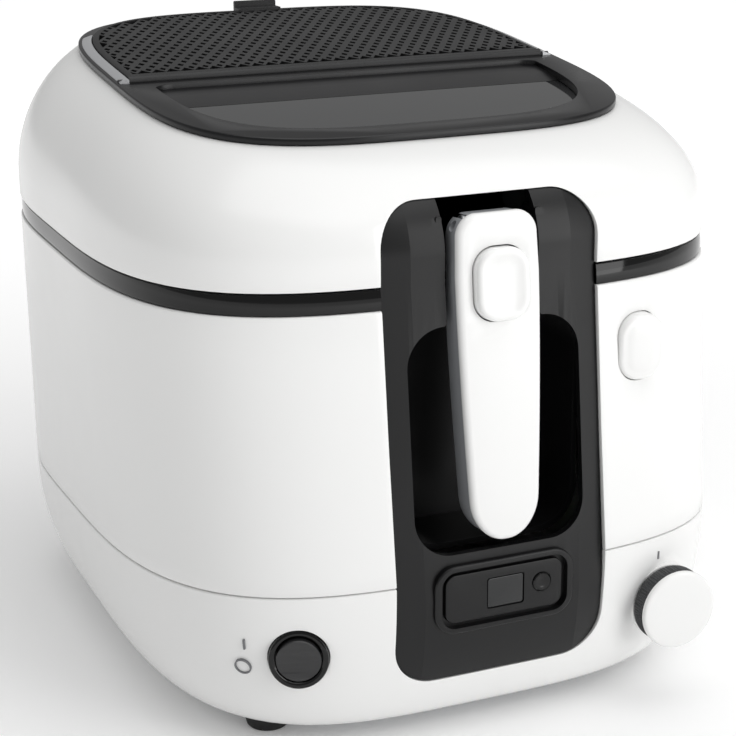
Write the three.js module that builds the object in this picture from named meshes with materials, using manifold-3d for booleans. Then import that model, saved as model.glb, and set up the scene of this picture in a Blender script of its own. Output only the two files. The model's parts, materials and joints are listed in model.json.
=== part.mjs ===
// Deep fryer with a domed lid, a folding handle on a basket that lifts, and a fixed oil bowl.
// Millimetres, +Z up. The rig's Y = 0 is the widest line of the plan; the front faces -Y.
import * as THREE from "three";
import { mergeVertices } from "three/addons/utils/BufferGeometryUtils.js";
import Module from "manifold-3d";

const wasm = await Module();
wasm.setup();

// ---------------------------------------------------------------- driving dimensions
const PLAN_POWER = 3.65; // how square the superelliptic plan is
const BODY_HALF_WIDTH = 137.5;
const BODY_FRONT = 160; // from the widest line to the front wall, at the lid seam
const BODY_REAR = 142;
const FRONT_LEAN = 14; // how much further out the front wall is at the base seam
const WALL = 2.6;
const GAP = 0.4; // between mouldings that touch

const FOOT_HEIGHT = 8;
const BASE_SEAM_Z = 69;
const BASE_SEAM_TILT = -0.044; // the seam drops towards the rear
const BASE_TUCK = 26; // how far the underside's edge is in from the wall
const BASE_TUCK_POWER = 2.1;
const BAND_LOW_Z = 188;
const LID_SEAM_Z = 196.5;
const BAND_INSET = 0.8;
const DECK_Z = 186; // the ledge that carries the bowl's rim
const DECK_WIDTH = 18;

const DOME_BREAK_Z = 207; // above this the lid's wall curves in
const DOME_RISE = 50; // from there to the edge of the lid frame
const DOME_TOP_ANGLE = 65; // degrees of arc in the dome's section
const DOME_TILT = 0.1; // the top slopes down to the front
const OPENING = { side: 107.5, front: 119, rear: 124 }; // outline of the black lid frame

const PANEL_HALF_WIDTH = 47;
const PANEL_LOW_Z = 31.5;
const PANEL_HIGH_Z = 227.5;
const PANEL_CORNER = 18;
const PANEL_INSET = 0.6;
const RECESS_HALF_WIDTH = 38;
const RECESS_LOW_Z = 86.5;
const RECESS_HIGH_Z = 179;
const RECESS_CORNER = 16;
const RECESS_BACK = 129; // depth of the finger recess's back face, from the widest line
const CHANNEL_HALF_WIDTH = 20.5;

const HANDLE_WIDTH = 36; // at the top
const HANDLE_LOW_WIDTH = 29;
const HANDLE_LOW_Z = 90;
const HANDLE_HIGH_Z = 222.5;
const HANDLE_LEAN = 5.5; // degrees
const PIVOT = { y: 3.8 - BODY_FRONT, z: 217.5 };
const COVER_FRONT = 8.3; // the cover's face, in front of the pivot
const COVER_BACK = 4.8;
const CORE_BACK = 8.5; // the grey core's rear face, behind the pivot
const NECK_LENGTH = 26; // the core is thin this far below the pin, to clear the lid when the basket is up
const HUB_RADIUS = 4.4;
const PIN_RADIUS = 2;

const BOWL = { side: 107, front: 113, rear: 111 };
const BOWL_WALL = 1.8;
const BOWL_FLOOR_Z = 50;
const BASKET = { side: 98, front: 103, rear: 102 };
const BASKET_WALL = 1.2;
const BASKET_LOW_Z = 60;
const BASKET_HIGH_Z = 146;

const HINGE = { y: 147, z: 198 };
const KNUCKLE_RADIUS = 5;
const HINGE_PIN_RADIUS = 2;
const HINGE_SPACING = 42; // from the middle to each hinge

const KNOB = { x: 80.5, z: 46.5, radius: 17, depth: 10.5 };
const SWITCH = { x: -86, z: 50, radius: 11.2, turn: -22, tilt: 6 };
const RELEASE = { x: 67.5, z: 160, width: 21, height: 28, travel: 3 };
const TIMER = { z: 68, width: 53, height: 22 };

// ---------------------------------------------------------------- solids and meshes
const rad = THREE.MathUtils.degToRad;

// A closed three.js geometry as a manifold solid, its faces turned out.
function solid(geometry) {
  const bare = new THREE.BufferGeometry();
  bare.setAttribute("position", geometry.getAttribute("position").clone());
  if (geometry.index) bare.setIndex(geometry.index.clone());
  const merged = mergeVertices(bare, 1e-4);
  const build = (triangles) =>
    new wasm.Manifold(
      new wasm.Mesh({
        numProp: 3,
        vertProperties: merged.attributes.position.array,
        triVerts: triangles,
      }),
    );
  const triangles = new Uint32Array(merged.index.array);
  const made = build(triangles);
  if (made.volume() > 0) return made;
  for (let i = 0; i < triangles.length; i += 3) {
    [triangles[i + 1], triangles[i + 2]] = [triangles[i + 2], triangles[i + 1]];
  }
  return build(triangles);
}

function geometryOf(made) {
  const mesh = made.simplify(0.004).getMesh(); // drops slivers left by the cuts
  const geometry = new THREE.BufferGeometry();
  geometry.setAttribute("position", new THREE.BufferAttribute(Float32Array.from(mesh.vertProperties), 3));
  geometry.setIndex(new THREE.BufferAttribute(Uint32Array.from(mesh.triVerts), 1));
  geometry.computeVertexNormals();
  return geometry;
}

const joined = (...solids) => solids.reduce((a, b) => a.add(b));
const cut = (from, ...tools) => tools.reduce((a, b) => a.subtract(b), from);

const MATERIALS = Object.fromEntries(
  Object.entries({
    white_plastic: [0xeeeeec, 0.28, 0],
    black_plastic: [0x26272a, 0.4, 0],
    gloss_black: [0x101012, 0.12, 0],
    grey_plastic: [0x77797b, 0.5, 0],
    dark_rubber: [0x1c1c1c, 0.9, 0],
    silicone: [0x3a3a3a, 0.7, 0],
    smoked_glass: [0x55585a, 0.08, 0],
    steel: [0xb9bcc0, 0.3, 1],
    aluminium: [0xa9abae, 0.4, 1],
    bowl_coating: [0x2b2b2d, 0.45, 0.2],
  }).map(([name, [color, roughness, metalness]]) => [
    name,
    new THREE.MeshStandardMaterial({ name, color, roughness, metalness }),
  ]),
);

const fryer = new THREE.Group();
function add(name, made, material) {
  const mesh = new THREE.Mesh(geometryOf(made), MATERIALS[material]);
  mesh.name = name;
  fryer.add(mesh);
}

// A box from its lowest to its highest corner.
function block(x0, y0, z0, x1, y1, z1) {
  const g = new THREE.BoxGeometry(x1 - x0, y1 - y0, z1 - z0);
  g.translate((x0 + x1) / 2, (y0 + y1) / 2, (z0 + z1) / 2);
  return solid(g);
}

// A cylinder between two points.
function rod(from, to, radius, segments = 20, endRadius = radius) {
  const a = new THREE.Vector3(...from);
  const b = new THREE.Vector3(...to);
  const g = new THREE.CylinderGeometry(endRadius, radius, a.distanceTo(b), segments);
  const up = new THREE.Vector3(0, 1, 0);
  g.applyQuaternion(new THREE.Quaternion().setFromUnitVectors(up, b.clone().sub(a).normalize()));
  const middle = a.add(b).multiplyScalar(0.5);
  g.translate(middle.x, middle.y, middle.z);
  return solid(g);
}

// A rounded rectangle, width by height about (0, 0).
function roundedRectangle(width, height, corner, lowCorner = corner) {
  const w = width / 2;
  const h = height / 2;
  const shape = new THREE.Shape();
  shape.moveTo(-w + lowCorner, -h);
  shape.lineTo(w - lowCorner, -h);
  shape.absarc(w - lowCorner, -h + lowCorner, lowCorner, -Math.PI / 2, 0);
  shape.lineTo(w, h - corner);
  shape.absarc(w - corner, h - corner, corner, 0, Math.PI / 2);
  shape.lineTo(-w + corner, h);
  shape.absarc(-w + corner, h - corner, corner, Math.PI / 2, Math.PI);
  shape.lineTo(-w, -h + lowCorner);
  shape.absarc(-w + lowCorner, -h + lowCorner, lowCorner, Math.PI, 1.5 * Math.PI);
  return shape;
}

// A shape drawn in X and Z, extruded along Y from yFront back to yBack.
function prism(shape, yFront, yBack, { x = 0, z = 0, bevel = 0, curveSegments = 6 } = {}) {
  const g = new THREE.ExtrudeGeometry(shape, {
    depth: yBack - yFront - 2 * bevel,
    bevelEnabled: bevel > 0,
    bevelSize: bevel,
    bevelThickness: bevel,
    bevelOffset: -bevel,
    bevelSegments: 2,
    curveSegments,
  });
  g.rotateX(Math.PI / 2);
  g.translate(x, yBack - bevel, z);
  return solid(g);
}

// ---------------------------------------------------------------- the plan and its rings
// A ring is the plan outline at one height: half-width, reach to the front and to the rear.
const ring = (extent, z, inset = 0, tilt = 0) => ({
  side: Math.max(0, extent.side - inset),
  front: Math.max(0, extent.front - inset),
  rear: Math.max(0, extent.rear - inset),
  z,
  tilt,
});

// Rings joined into one closed skin: a lathe whose round section is pressed to the plan.
function lofted(rings, { segments = 56, closed = true } = {}) {
  const loop = closed ? [...rings, rings[0]] : rings;
  const g = new THREE.LatheGeometry(
    loop.map((r) => new THREE.Vector2(r.side, r.z)),
    segments,
  );
  const position = g.getAttribute("position");
  for (let i = 0; i < position.count; i++) {
    const { side, front, rear, z, tilt } = loop[i % loop.length];
    const angle = (2 * Math.PI * Math.floor(i / loop.length)) / segments;
    const [c, s] = [Math.cos(angle), Math.sin(angle)];
    const reach = (Math.abs(c) ** PLAN_POWER + Math.abs(s) ** PLAN_POWER) ** (-1 / PLAN_POWER);
    const y = (s < 0 ? front : rear) * s * reach;
    position.setXYZ(i, side * c * reach, y, z + tilt * y);
  }
  return solid(g);
}

// The outer wall below the lid at height z.
function bodyExtent(z) {
  const drop = (LID_SEAM_Z - Math.max(z, BASE_SEAM_Z)) / (LID_SEAM_Z - BASE_SEAM_Z);
  const low = Math.min(1, Math.max(0, (BASE_SEAM_Z - z) / (BASE_SEAM_Z - FOOT_HEIGHT)));
  const tuck = BASE_TUCK * (1 - (1 - low ** BASE_TUCK_POWER) ** (1 / BASE_TUCK_POWER));
  return {
    side: BODY_HALF_WIDTH - tuck,
    front: BODY_FRONT + FRONT_LEAN * drop - tuck,
    rear: BODY_REAR - 3 * drop - tuck,
  };
}
const bodyRing = (z, inset = 0, tilt = 0) => ring(bodyExtent(z), z, inset, tilt);

// The lid's dome: share 0 is its break line and 1 is the edge of the lid frame.
function domeRing(share, depth = 0) {
  const topAngle = rad(DOME_TOP_ANGLE);
  const angle = share * topAngle;
  const inward = (1 - Math.cos(angle)) / (1 - Math.cos(topAngle));
  const at = (low, high) => low + (high - low) * inward;
  const seam = bodyExtent(LID_SEAM_Z);
  const extent = {
    side: at(seam.side, OPENING.side),
    front: at(seam.front, OPENING.front),
    rear: at(seam.rear, OPENING.rear),
  };
  const z = DOME_BREAK_Z + (DOME_RISE * Math.sin(angle)) / Math.sin(topAngle);
  return ring(extent, z - depth * Math.sin(angle), depth * Math.cos(angle), DOME_TILT * share);
}
const topZ = (y) => DOME_BREAK_Z + DOME_RISE + DOME_TILT * y;
const steps = (count) => Array.from({ length: count + 1 }, (_, i) => i / count);

// Front wall of the body at the middle, as a negative Y.
const frontY = (z) => -bodyExtent(z).front;
// Front wall at a place away from the middle.
function frontYAt(x, z) {
  const { side, front } = bodyExtent(z);
  return -front * (1 - Math.abs(x / side) ** PLAN_POWER) ** (1 / PLAN_POWER);
}

const panelHeight = PANEL_HIGH_Z - PANEL_LOW_Z;
const panelShape = (grow) =>
  roundedRectangle(2 * (PANEL_HALF_WIDTH + grow), panelHeight + 2 * grow, PANEL_CORNER + grow);
const panelPlace = { z: (PANEL_HIGH_Z + PANEL_LOW_Z) / 2 };
const panelOpening = prism(panelShape(GAP), -BODY_FRONT - 40, -BODY_FRONT + 36, panelPlace);

// ---------------------------------------------------------------- base
const plateInset = 1.5; // base plate inside the base's bottom lip
const plateTop = FOOT_HEIGHT + 1.2;
const flangeTop = plateTop + GAP + 2.4;
const underside = bodyExtent(FOOT_HEIGHT);
const screwPlaces = [-1, 1].flatMap((sx) => [-1, 1].map((sy) => [sx * 62, sy < 0 ? -126 : 95]));
const footPlaces = {
  front_left: [-84, -119],
  front_right: [84, -119],
  rear_left: [-84, 88],
  rear_right: [84, 88],
};
const knobSeatY = frontYAt(KNOB.x, KNOB.z) - 4;
const cordExit = { x: -60, z: 34, radius: 6.5 };

function baseShell() {
  const arc = (count) =>
    steps(count).map((t) => BASE_SEAM_Z - (BASE_SEAM_Z - FOOT_HEIGHT) * Math.sin((t * Math.PI) / 2));
  const outer = arc(6).map((z, i) => bodyRing(z, 0, i ? 0 : BASE_SEAM_TILT));
  const innerHeights = arc(4).filter((z) => z > flangeTop + 2).reverse();
  const inner = innerHeights.map((z, i) =>
    bodyRing(z, WALL, i === innerHeights.length - 1 ? BASE_SEAM_TILT : 0),
  );
  const shell = lofted([
    ...outer,
    ring(underside, FOOT_HEIGHT, plateInset),
    ring(underside, plateTop + GAP, plateInset),
    ring(underside, plateTop + GAP, plateInset + 14),
    ring(underside, flangeTop, plateInset + 14),
    ring(underside, flangeTop, 0),
    ...inner,
  ]);
  const boss = rod([KNOB.x, knobSeatY, KNOB.z], [KNOB.x, -BODY_FRONT + 20, KNOB.z], KNOB.radius - 0.6, 32);
  const bossBack = block(KNOB.x - 30, -BODY_FRONT + 14, KNOB.z - 30, KNOB.x + 30, -100, KNOB.z + 30);
  const bossHollow = rod([KNOB.x, knobSeatY + WALL, KNOB.z], [KNOB.x, -120, KNOB.z], KNOB.radius - 3, 32);
  const bossTop = rod([KNOB.x, knobSeatY - 30, KNOB.z], [KNOB.x, knobSeatY, KNOB.z], KNOB.radius + 6, 32);
  const shaftHole = rod([KNOB.x, knobSeatY - 20, KNOB.z], [KNOB.x, -120, KNOB.z], 4.6, 20);
  return cut(
    joined(shell, cut(boss, bossBack)),
    bossHollow,
    bossTop,
    shaftHole,
    panelOpening,
    switchTool(SWITCH.radius + GAP, -20, 20),
    switchTool(SWITCH.radius + 1 + GAP, -20, 0.8),
    rod([cordExit.x, 60, cordExit.z], [cordExit.x, 160, cordExit.z], cordExit.radius + GAP, 20),
    ...screwPlaces.map(([x, y]) => rod([x, y, 6], [x, y, 16], 1.95, 12)),
  );
}

// A round tool square to the wall at the switch, from one depth to another behind the wall.
function switchFrame() {
  const group = new THREE.Object3D();
  group.position.set(SWITCH.x, frontYAt(SWITCH.x, SWITCH.z), SWITCH.z);
  group.rotation.set(rad(-SWITCH.tilt), 0, rad(SWITCH.turn), "ZXY");
  group.updateMatrix();
  return group.matrix;
}
const inSwitchFrame = (made) => made.transform(switchFrame().elements);
function switchTool(radius, from, to, segments = 32) {
  return inSwitchFrame(rod([0, from, 0], [0, to, 0], radius, segments));
}

add("base_shell", baseShell(), "white_plastic");
add(
  "base_plate",
  cut(
    lofted(
      [
        ring(underside, FOOT_HEIGHT, 400),
        ring(underside, FOOT_HEIGHT, plateInset + GAP),
        ring(underside, plateTop, plateInset + GAP),
        ring(underside, plateTop, 400),
      ],
      { segments: 48, closed: false },
    ),
    ...screwPlaces.map(([x, y]) => rod([x, y, 6], [x, y, 16], 1.95, 12)),
  ),
  "steel",
);
for (const [place, [x, y]] of Object.entries(footPlaces)) {
  add(`foot_${place}`, rod([x, y, 0], [x, y, FOOT_HEIGHT - 0.3], 9, 24, 11), "dark_rubber");
}
screwPlaces.forEach(([x, y], i) => {
  const head = rod([x, y, FOOT_HEIGHT - 2.4], [x, y, FOOT_HEIGHT - 0.3], 3, 16, 3.4);
  const shank = rod([x, y, FOOT_HEIGHT - 1], [x, y, flangeTop + 1.5], 1.6, 12);
  add(`base_screw_${i + 1}`, joined(head, shank), "steel");
});

// ---------------------------------------------------------------- body and rim
const seamRing = (z, inset) => bodyRing(z, inset, BASE_SEAM_TILT);
const bodyTopZ = BAND_LOW_Z - 0.3;
const body = lofted([
  seamRing(BASE_SEAM_Z + GAP, 0),
  bodyRing((BASE_SEAM_Z + bodyTopZ) / 2, 0),
  bodyRing(bodyTopZ, 0),
  bodyRing(bodyTopZ, WALL),
  bodyRing((BASE_SEAM_Z + bodyTopZ) / 2, WALL),
  seamRing(BASE_SEAM_Z + GAP, WALL),
]);
const releaseY = frontYAt(RELEASE.x, RELEASE.z);
const releaseShape = (grow) => roundedRectangle(RELEASE.width + 2 * grow, RELEASE.height + 2 * grow, 9.5 + grow);
const releasePlace = { x: RELEASE.x, z: RELEASE.z };
add(
  "body_shell",
  cut(body, panelOpening, prism(releaseShape(GAP), releaseY - 20, releaseY + 20, releasePlace)),
  "white_plastic",
);

const buttonBackY = releaseY + WALL + 5.6;
const strapY = releaseY + 17; // front of the strap that hangs from the lid
const strapHalfWidth = 6;
const hookTopZ = DECK_Z - 7;

const hingeSides = [-1, 1];
const knuckle = (x0, x1, radius = KNUCKLE_RADIUS) =>
  rod([x0, HINGE.y, HINGE.z], [x1, HINGE.y, HINGE.z], radius, 20);
const hingePinHole = rod([-70, HINGE.y, HINGE.z], [70, HINGE.y, HINGE.z], HINGE_PIN_RADIUS + 0.05, 16);
const KNUCKLE_LENGTH = 12;
function rimBand() {
  const band = lofted([
    bodyRing(BAND_LOW_Z, BAND_INSET),
    bodyRing(LID_SEAM_Z - 0.3, BAND_INSET),
    bodyRing(LID_SEAM_Z - 0.3, BAND_INSET + 3.2),
    bodyRing(DECK_Z, BAND_INSET + 3.2),
    bodyRing(DECK_Z, DECK_WIDTH),
    bodyRing(DECK_Z - 2.5, DECK_WIDTH),
    bodyRing(DECK_Z - 2.5, WALL + GAP),
    bodyRing(BAND_LOW_Z, WALL + GAP),
  ]);
  const rear = bodyExtent(LID_SEAM_Z).rear;
  const knuckles = hingeSides.flatMap((side) =>
    [-1, 1].map((end) => {
      const x = side * HINGE_SPACING + end * KNUCKLE_LENGTH;
      const [x0, x1] = [x - KNUCKLE_LENGTH / 2 + GAP, x + KNUCKLE_LENGTH / 2 - GAP];
      const lug = block(x0, rear - 4, BAND_LOW_Z + 1, x1, HINGE.y + 2, LID_SEAM_Z - 0.3);
      return joined(knuckle(x0, x1), lug);
    }),
  );
  const inside = block(-80, 100, BAND_LOW_Z - 10, 80, rear - BAND_INSET - 3.2, 220);
  const towerRoom = block(
    -PANEL_HALF_WIDTH - GAP,
    -BODY_FRONT - 10,
    DECK_Z - 10,
    PANEL_HALF_WIDTH + GAP,
    -BODY_FRONT + 30,
    LID_SEAM_Z + 5,
  );
  return cut(joined(band, ...knuckles.map((k) => cut(k, inside))), towerRoom, hingePinHole, catchSlot());
}
// Room in the deck for the lid's catch.
function catchSlot() {
  const reach = strapHalfWidth + 3;
  return block(RELEASE.x - reach, strapY - 9, DECK_Z - 8, RELEASE.x + reach, strapY + 6, DECK_Z + 8);
}
add("rim_band", rimBand(), "gloss_black");
add("hinge_pin", rod([-62, HINGE.y, HINGE.z], [62, HINGE.y, HINGE.z], HINGE_PIN_RADIUS, 16), "steel");

// ---------------------------------------------------------------- front panel with the handle's recess
const barHalfWidth = 12.5; // the basket bracket's outer width, each side of the middle
const panelThickness = 3;

function frontPanel() {
  const skin = lofted([
    ...steps(6).map((t) => bodyRing(PANEL_LOW_Z - 8 + t * (BASE_SEAM_Z - PANEL_LOW_Z + 8), PANEL_INSET)),
    bodyRing(LID_SEAM_Z, PANEL_INSET),
    ...steps(6).map((t) => domeRing(t * 0.7, PANEL_INSET)),
    ...steps(6).map((t) => domeRing((1 - t) * 0.7, PANEL_INSET + panelThickness)),
    bodyRing(LID_SEAM_Z, PANEL_INSET + panelThickness),
    ...steps(6)
      .map((t) => bodyRing(PANEL_LOW_Z - 8 + t * (BASE_SEAM_Z - PANEL_LOW_Z + 8), PANEL_INSET + panelThickness))
      .reverse(),
  ]);
  const face = skin.intersect(prism(panelShape(0), -BODY_FRONT - 40, -BODY_FRONT + 30, panelPlace));
  const recessShape = (grow) =>
    roundedRectangle(2 * (RECESS_HALF_WIDTH + grow), RECESS_HIGH_Z - RECESS_LOW_Z + 2 * grow, RECESS_CORNER + grow);
  const recessPlace = { z: (RECESS_HIGH_Z + RECESS_LOW_Z) / 2 };
  const front = -BODY_FRONT - FRONT_LEAN - 5;
  const tub = prism(recessShape(2.4), -BODY_FRONT - 1, -RECESS_BACK + 2.4, recessPlace);
  const hollow = prism(recessShape(0), front, -RECESS_BACK, recessPlace);
  // the channel above the recess, open at its top, where the basket's bracket comes out
  const channelOuter = block(
    -CHANNEL_HALF_WIDTH - 2.4,
    -BODY_FRONT + 5,
    RECESS_HIGH_Z - 8,
    CHANNEL_HALF_WIDTH + 2.4,
    -RECESS_BACK + 2.4,
    DECK_Z,
  );
  const cheeks = block(
    -CHANNEL_HALF_WIDTH - 2.4,
    -BODY_FRONT + 5,
    DECK_Z - 1,
    CHANNEL_HALF_WIDTH + 2.4,
    -BODY_FRONT + 15,
    PANEL_HIGH_Z - 6,
  );
  const channel = joined(
    block(-CHANNEL_HALF_WIDTH, front, RECESS_HIGH_Z - 6, CHANNEL_HALF_WIDTH, -RECESS_BACK, DECK_Z + 60),
    block(-CHANNEL_HALF_WIDTH, front, DECK_Z, CHANNEL_HALF_WIDTH, -RECESS_BACK + 10, DECK_Z + 60),
  );
  const lip = timerLip();
  const moulding = cut(joined(face, cut(tub, frontTrim()), channelOuter, cheeks), hollow, channel);
  return cut(joined(moulding, lip), timerPocket());
}
// Everything in front of the panel's face, to trim what is joined to its back.
function frontTrim() {
  const outside = block(-70, -BODY_FRONT - 60, 20, 70, -100, 250);
  const inside = lofted(
    [
      ring(bodyExtent(FOOT_HEIGHT + 8), FOOT_HEIGHT + 8, 400),
      ...steps(6).map((t) => bodyRing(16 + t * (BASE_SEAM_Z - 16), PANEL_INSET + 1)),
      bodyRing(LID_SEAM_Z, PANEL_INSET + 1),
      ...steps(6).map((t) => domeRing(t * 0.7, PANEL_INSET + 1)),
      ring(OPENING, topZ(0), 400),
    ],
    { closed: false },
  );
  return cut(outside, inside);
}
const timerY = frontY(TIMER.z) + PANEL_INSET;
const timerPlace = { z: TIMER.z };
const timerShape = (grow) => roundedRectangle(TIMER.width + 2 * grow, TIMER.height + 2 * grow, 4.5 + grow);
function timerLip() {
  return prism(timerShape(5), timerY - 1.4, timerY + 2, timerPlace);
}
function timerPocket() {
  return prism(timerShape(1.6), timerY - 10, timerY + 1.6, timerPlace);
}

add("front_panel", frontPanel(), "black_plastic");

// ---------------------------------------------------------------- timer in the panel
const timerFace = timerY - 0.6;
const displayShape = roundedRectangle(16, 13, 1);
const displayPlace = { x: 0.5, z: TIMER.z };
const timerButtonPlace = { x: 17, z: TIMER.z + 1 };
add(
  "timer_plate",
  cut(
    prism(timerShape(0), timerFace, timerY + 1.3, timerPlace),
    prism(roundedRectangle(16 + 0.8, 13 + 0.8, 1.4), timerFace - 2, timerFace + 1, displayPlace),
    rod([timerButtonPlace.x, timerFace - 2, timerButtonPlace.z], [timerButtonPlace.x, timerFace + 1.4, timerButtonPlace.z], 4.4, 24),
  ),
  "black_plastic",
);
add("timer_display", prism(displayShape, timerFace + 0.1, timerFace + 0.7, displayPlace), "smoked_glass");
add(
  "timer_button",
  rod(
    [timerButtonPlace.x, timerFace - 0.7, timerButtonPlace.z],
    [timerButtonPlace.x, timerFace + 0.3, timerButtonPlace.z],
    4,
    24,
  ),
  "gloss_black",
);

// ---------------------------------------------------------------- bowl, heating and wiring
const bowlRimZ = DECK_Z + 0.3;
add(
  "oil_bowl",
  lofted(
    [
      ring(BOWL, BOWL_FLOOR_Z - BOWL_WALL, 400),
      ring(BOWL, BOWL_FLOOR_Z - BOWL_WALL, 14),
      ring(BOWL, BOWL_FLOOR_Z + 12, 0),
      ring(BOWL, bowlRimZ, -BOWL_WALL),
      ring(bodyExtent(DECK_Z), bowlRimZ, 14).front > BODY_FRONT - 30
        ? { ...ring(bodyExtent(DECK_Z), bowlRimZ, 14), front: BODY_FRONT - 31.5 }
        : ring(bodyExtent(DECK_Z), bowlRimZ, 14),
      { ...ring(bodyExtent(DECK_Z), bowlRimZ + BOWL_WALL, 14), front: BODY_FRONT - 31.5 },
      ring(BOWL, bowlRimZ + BOWL_WALL, 0),
      ring(BOWL, BOWL_FLOOR_Z + 12, BOWL_WALL),
      ring(BOWL, BOWL_FLOOR_Z, 15),
      ring(BOWL, BOWL_FLOOR_Z, 400),
    ],
    { segments: 48, closed: false },
  ),
  "bowl_coating",
);
const SHIELD = { side: 120, front: 122, rear: 122 };
add(
  "heat_shield",
  lofted(
    [
      ring(SHIELD, 44, 0),
      ring(SHIELD, DECK_Z - 8, 0),
      ring(SHIELD, DECK_Z - 8, 0.6),
      ring(SHIELD, 44, 0.6),
    ],
    { segments: 48 },
  ),
  "steel",
);
const elementZ = BOWL_FLOOR_Z - BOWL_WALL - 5;
function heatingElement() {
  const loop = new THREE.TorusGeometry(72, 3.6, 8, 40);
  loop.translate(0, 0, elementZ);
  const leads = [-1, 1].map((side) => rod([side * 14, -71, elementZ], [side * 14, -98, elementZ], 3.2, 10));
  return joined(solid(loop), ...leads);
}
add("heating_element", heatingElement(), "steel");
add("thermal_cutout", rod([0, 0, elementZ - 3], [0, 0, elementZ + 4.4], 9, 20), "aluminium");
add("terminal_block", block(-84, 64, flangeTop + 0.5, -56, 88, flangeTop + 16), "grey_plastic");
function cordGland() {
  const rear = bodyExtent(cordExit.z).rear;
  const barrel = rod([cordExit.x, 88, cordExit.z], [cordExit.x, rear + 6, cordExit.z], cordExit.radius - 0.5, 20);
  const flange = rod([cordExit.x, rear + 1, cordExit.z], [cordExit.x, rear + 4, cordExit.z], cordExit.radius + 2.5, 20);
  const bore = rod([cordExit.x, 80, cordExit.z], [cordExit.x, rear + 20, cordExit.z], 3.6, 16);
  return cut(joined(cut(barrel, block(-90, 60, 0, -20, 112, 60)), flange), bore);
}
add("cord_gland", cordGland(), "dark_rubber");

// ---------------------------------------------------------------- thermostat and its knob
const knobBackY = knobSeatY - 0.6;
const knobFrontY = knobBackY - KNOB.depth;
add(
  "thermostat_body",
  joined(
    block(KNOB.x - 15, knobSeatY + WALL + 0.6, KNOB.z - 11, KNOB.x + 15, knobSeatY + WALL + 18, KNOB.z + 11).intersect(
      rod([KNOB.x, knobSeatY - 20, KNOB.z], [KNOB.x, -100, KNOB.z], KNOB.radius - 3.6, 32),
    ),
    rod([KNOB.x, knobSeatY + WALL + 14, KNOB.z], [KNOB.x, knobSeatY + WALL + 24, KNOB.z], 6, 20),
  ),
  "steel",
);
add(
  "knob_shaft",
  rod([KNOB.x, knobBackY - 6, KNOB.z], [KNOB.x, knobSeatY + WALL + 0.2, KNOB.z], 3, 16),
  "steel",
);
const skirtFrontY = knobFrontY + 2.4;
add(
  "knob_skirt",
  cut(
    rod([KNOB.x, skirtFrontY, KNOB.z], [KNOB.x, knobBackY, KNOB.z], KNOB.radius - 0.6, 40, KNOB.radius),
    rod([KNOB.x, knobBackY - 6.4, KNOB.z], [KNOB.x, knobBackY + 2, KNOB.z], 3.1, 16),
  ),
  "dark_rubber",
);
add(
  "knob_cap",
  rod([KNOB.x, knobFrontY, KNOB.z], [KNOB.x, skirtFrontY - 0.2, KNOB.z], KNOB.radius - 1.6, 40, KNOB.radius - 0.7),
  "white_plastic",
);

// ---------------------------------------------------------------- mains switch
const rockerRadius = SWITCH.radius - 2.2;
function switchHousing() {
  const bezel = rod([0, -1.8, 0], [0, 0.5, 0], SWITCH.radius + 1, 32);
  const barrel = rod([0, 0, 0], [0, 20, 0], SWITCH.radius - 0.2, 32);
  const well = rod([0, -5, 0], [0, 8, 0], rockerRadius + 0.5, 32);
  return inSwitchFrame(cut(joined(bezel, barrel), well));
}
add("switch_housing", switchHousing(), "gloss_black");
// The rocker: a round button with a hollowed face, tipped so that its lower half is in.
const ROCKER_TILT = 7;
function rocker() {
  const disc = rod([0, -2.4, 0], [0, 4, 0], rockerRadius, 32);
  const dish = rod([-20, -27.2, 0], [20, -27.2, 0], 25.6, 48);
  const trimmed = cut(disc, dish).intersect(solid(new THREE.SphereGeometry(rockerRadius + 0.2, 32, 24).translate(0, 1.2, 0)));
  return inSwitchFrame(trimmed.rotate([ROCKER_TILT, 0, 0]));
}
add("switch_rocker", rocker(), "gloss_black");

// ---------------------------------------------------------------- lid release
add(
  "release_button",
  prism(releaseShape(0), releaseY - 3.2, buttonBackY, { ...releasePlace, bevel: 1.6 }),
  "white_plastic",
);
// A yoke round the lid's strap. Its tooth sits over the hook and leaves it when pushed back.
function lidLatch() {
  const [low, high] = [hookTopZ + 0.4, DECK_Z - 3.5];
  const [x0, x1] = [RELEASE.x - strapHalfWidth - 4.5, RELEASE.x + strapHalfWidth + 4.5];
  return joined(
    block(x0, buttonBackY + 0.8, RELEASE.z + 10, x1, buttonBackY + 2.5, high),
    block(x0, buttonBackY + 1.2, low, x0 + 2.5, strapY + 8, high),
    block(x1 - 2.5, buttonBackY + 1.2, low, x1, strapY + 8, high),
    block(x0, strapY + 2.8, low, x1, strapY + 8, high),
  );
}
add("lid_latch", lidLatch(), "grey_plastic");

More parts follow.
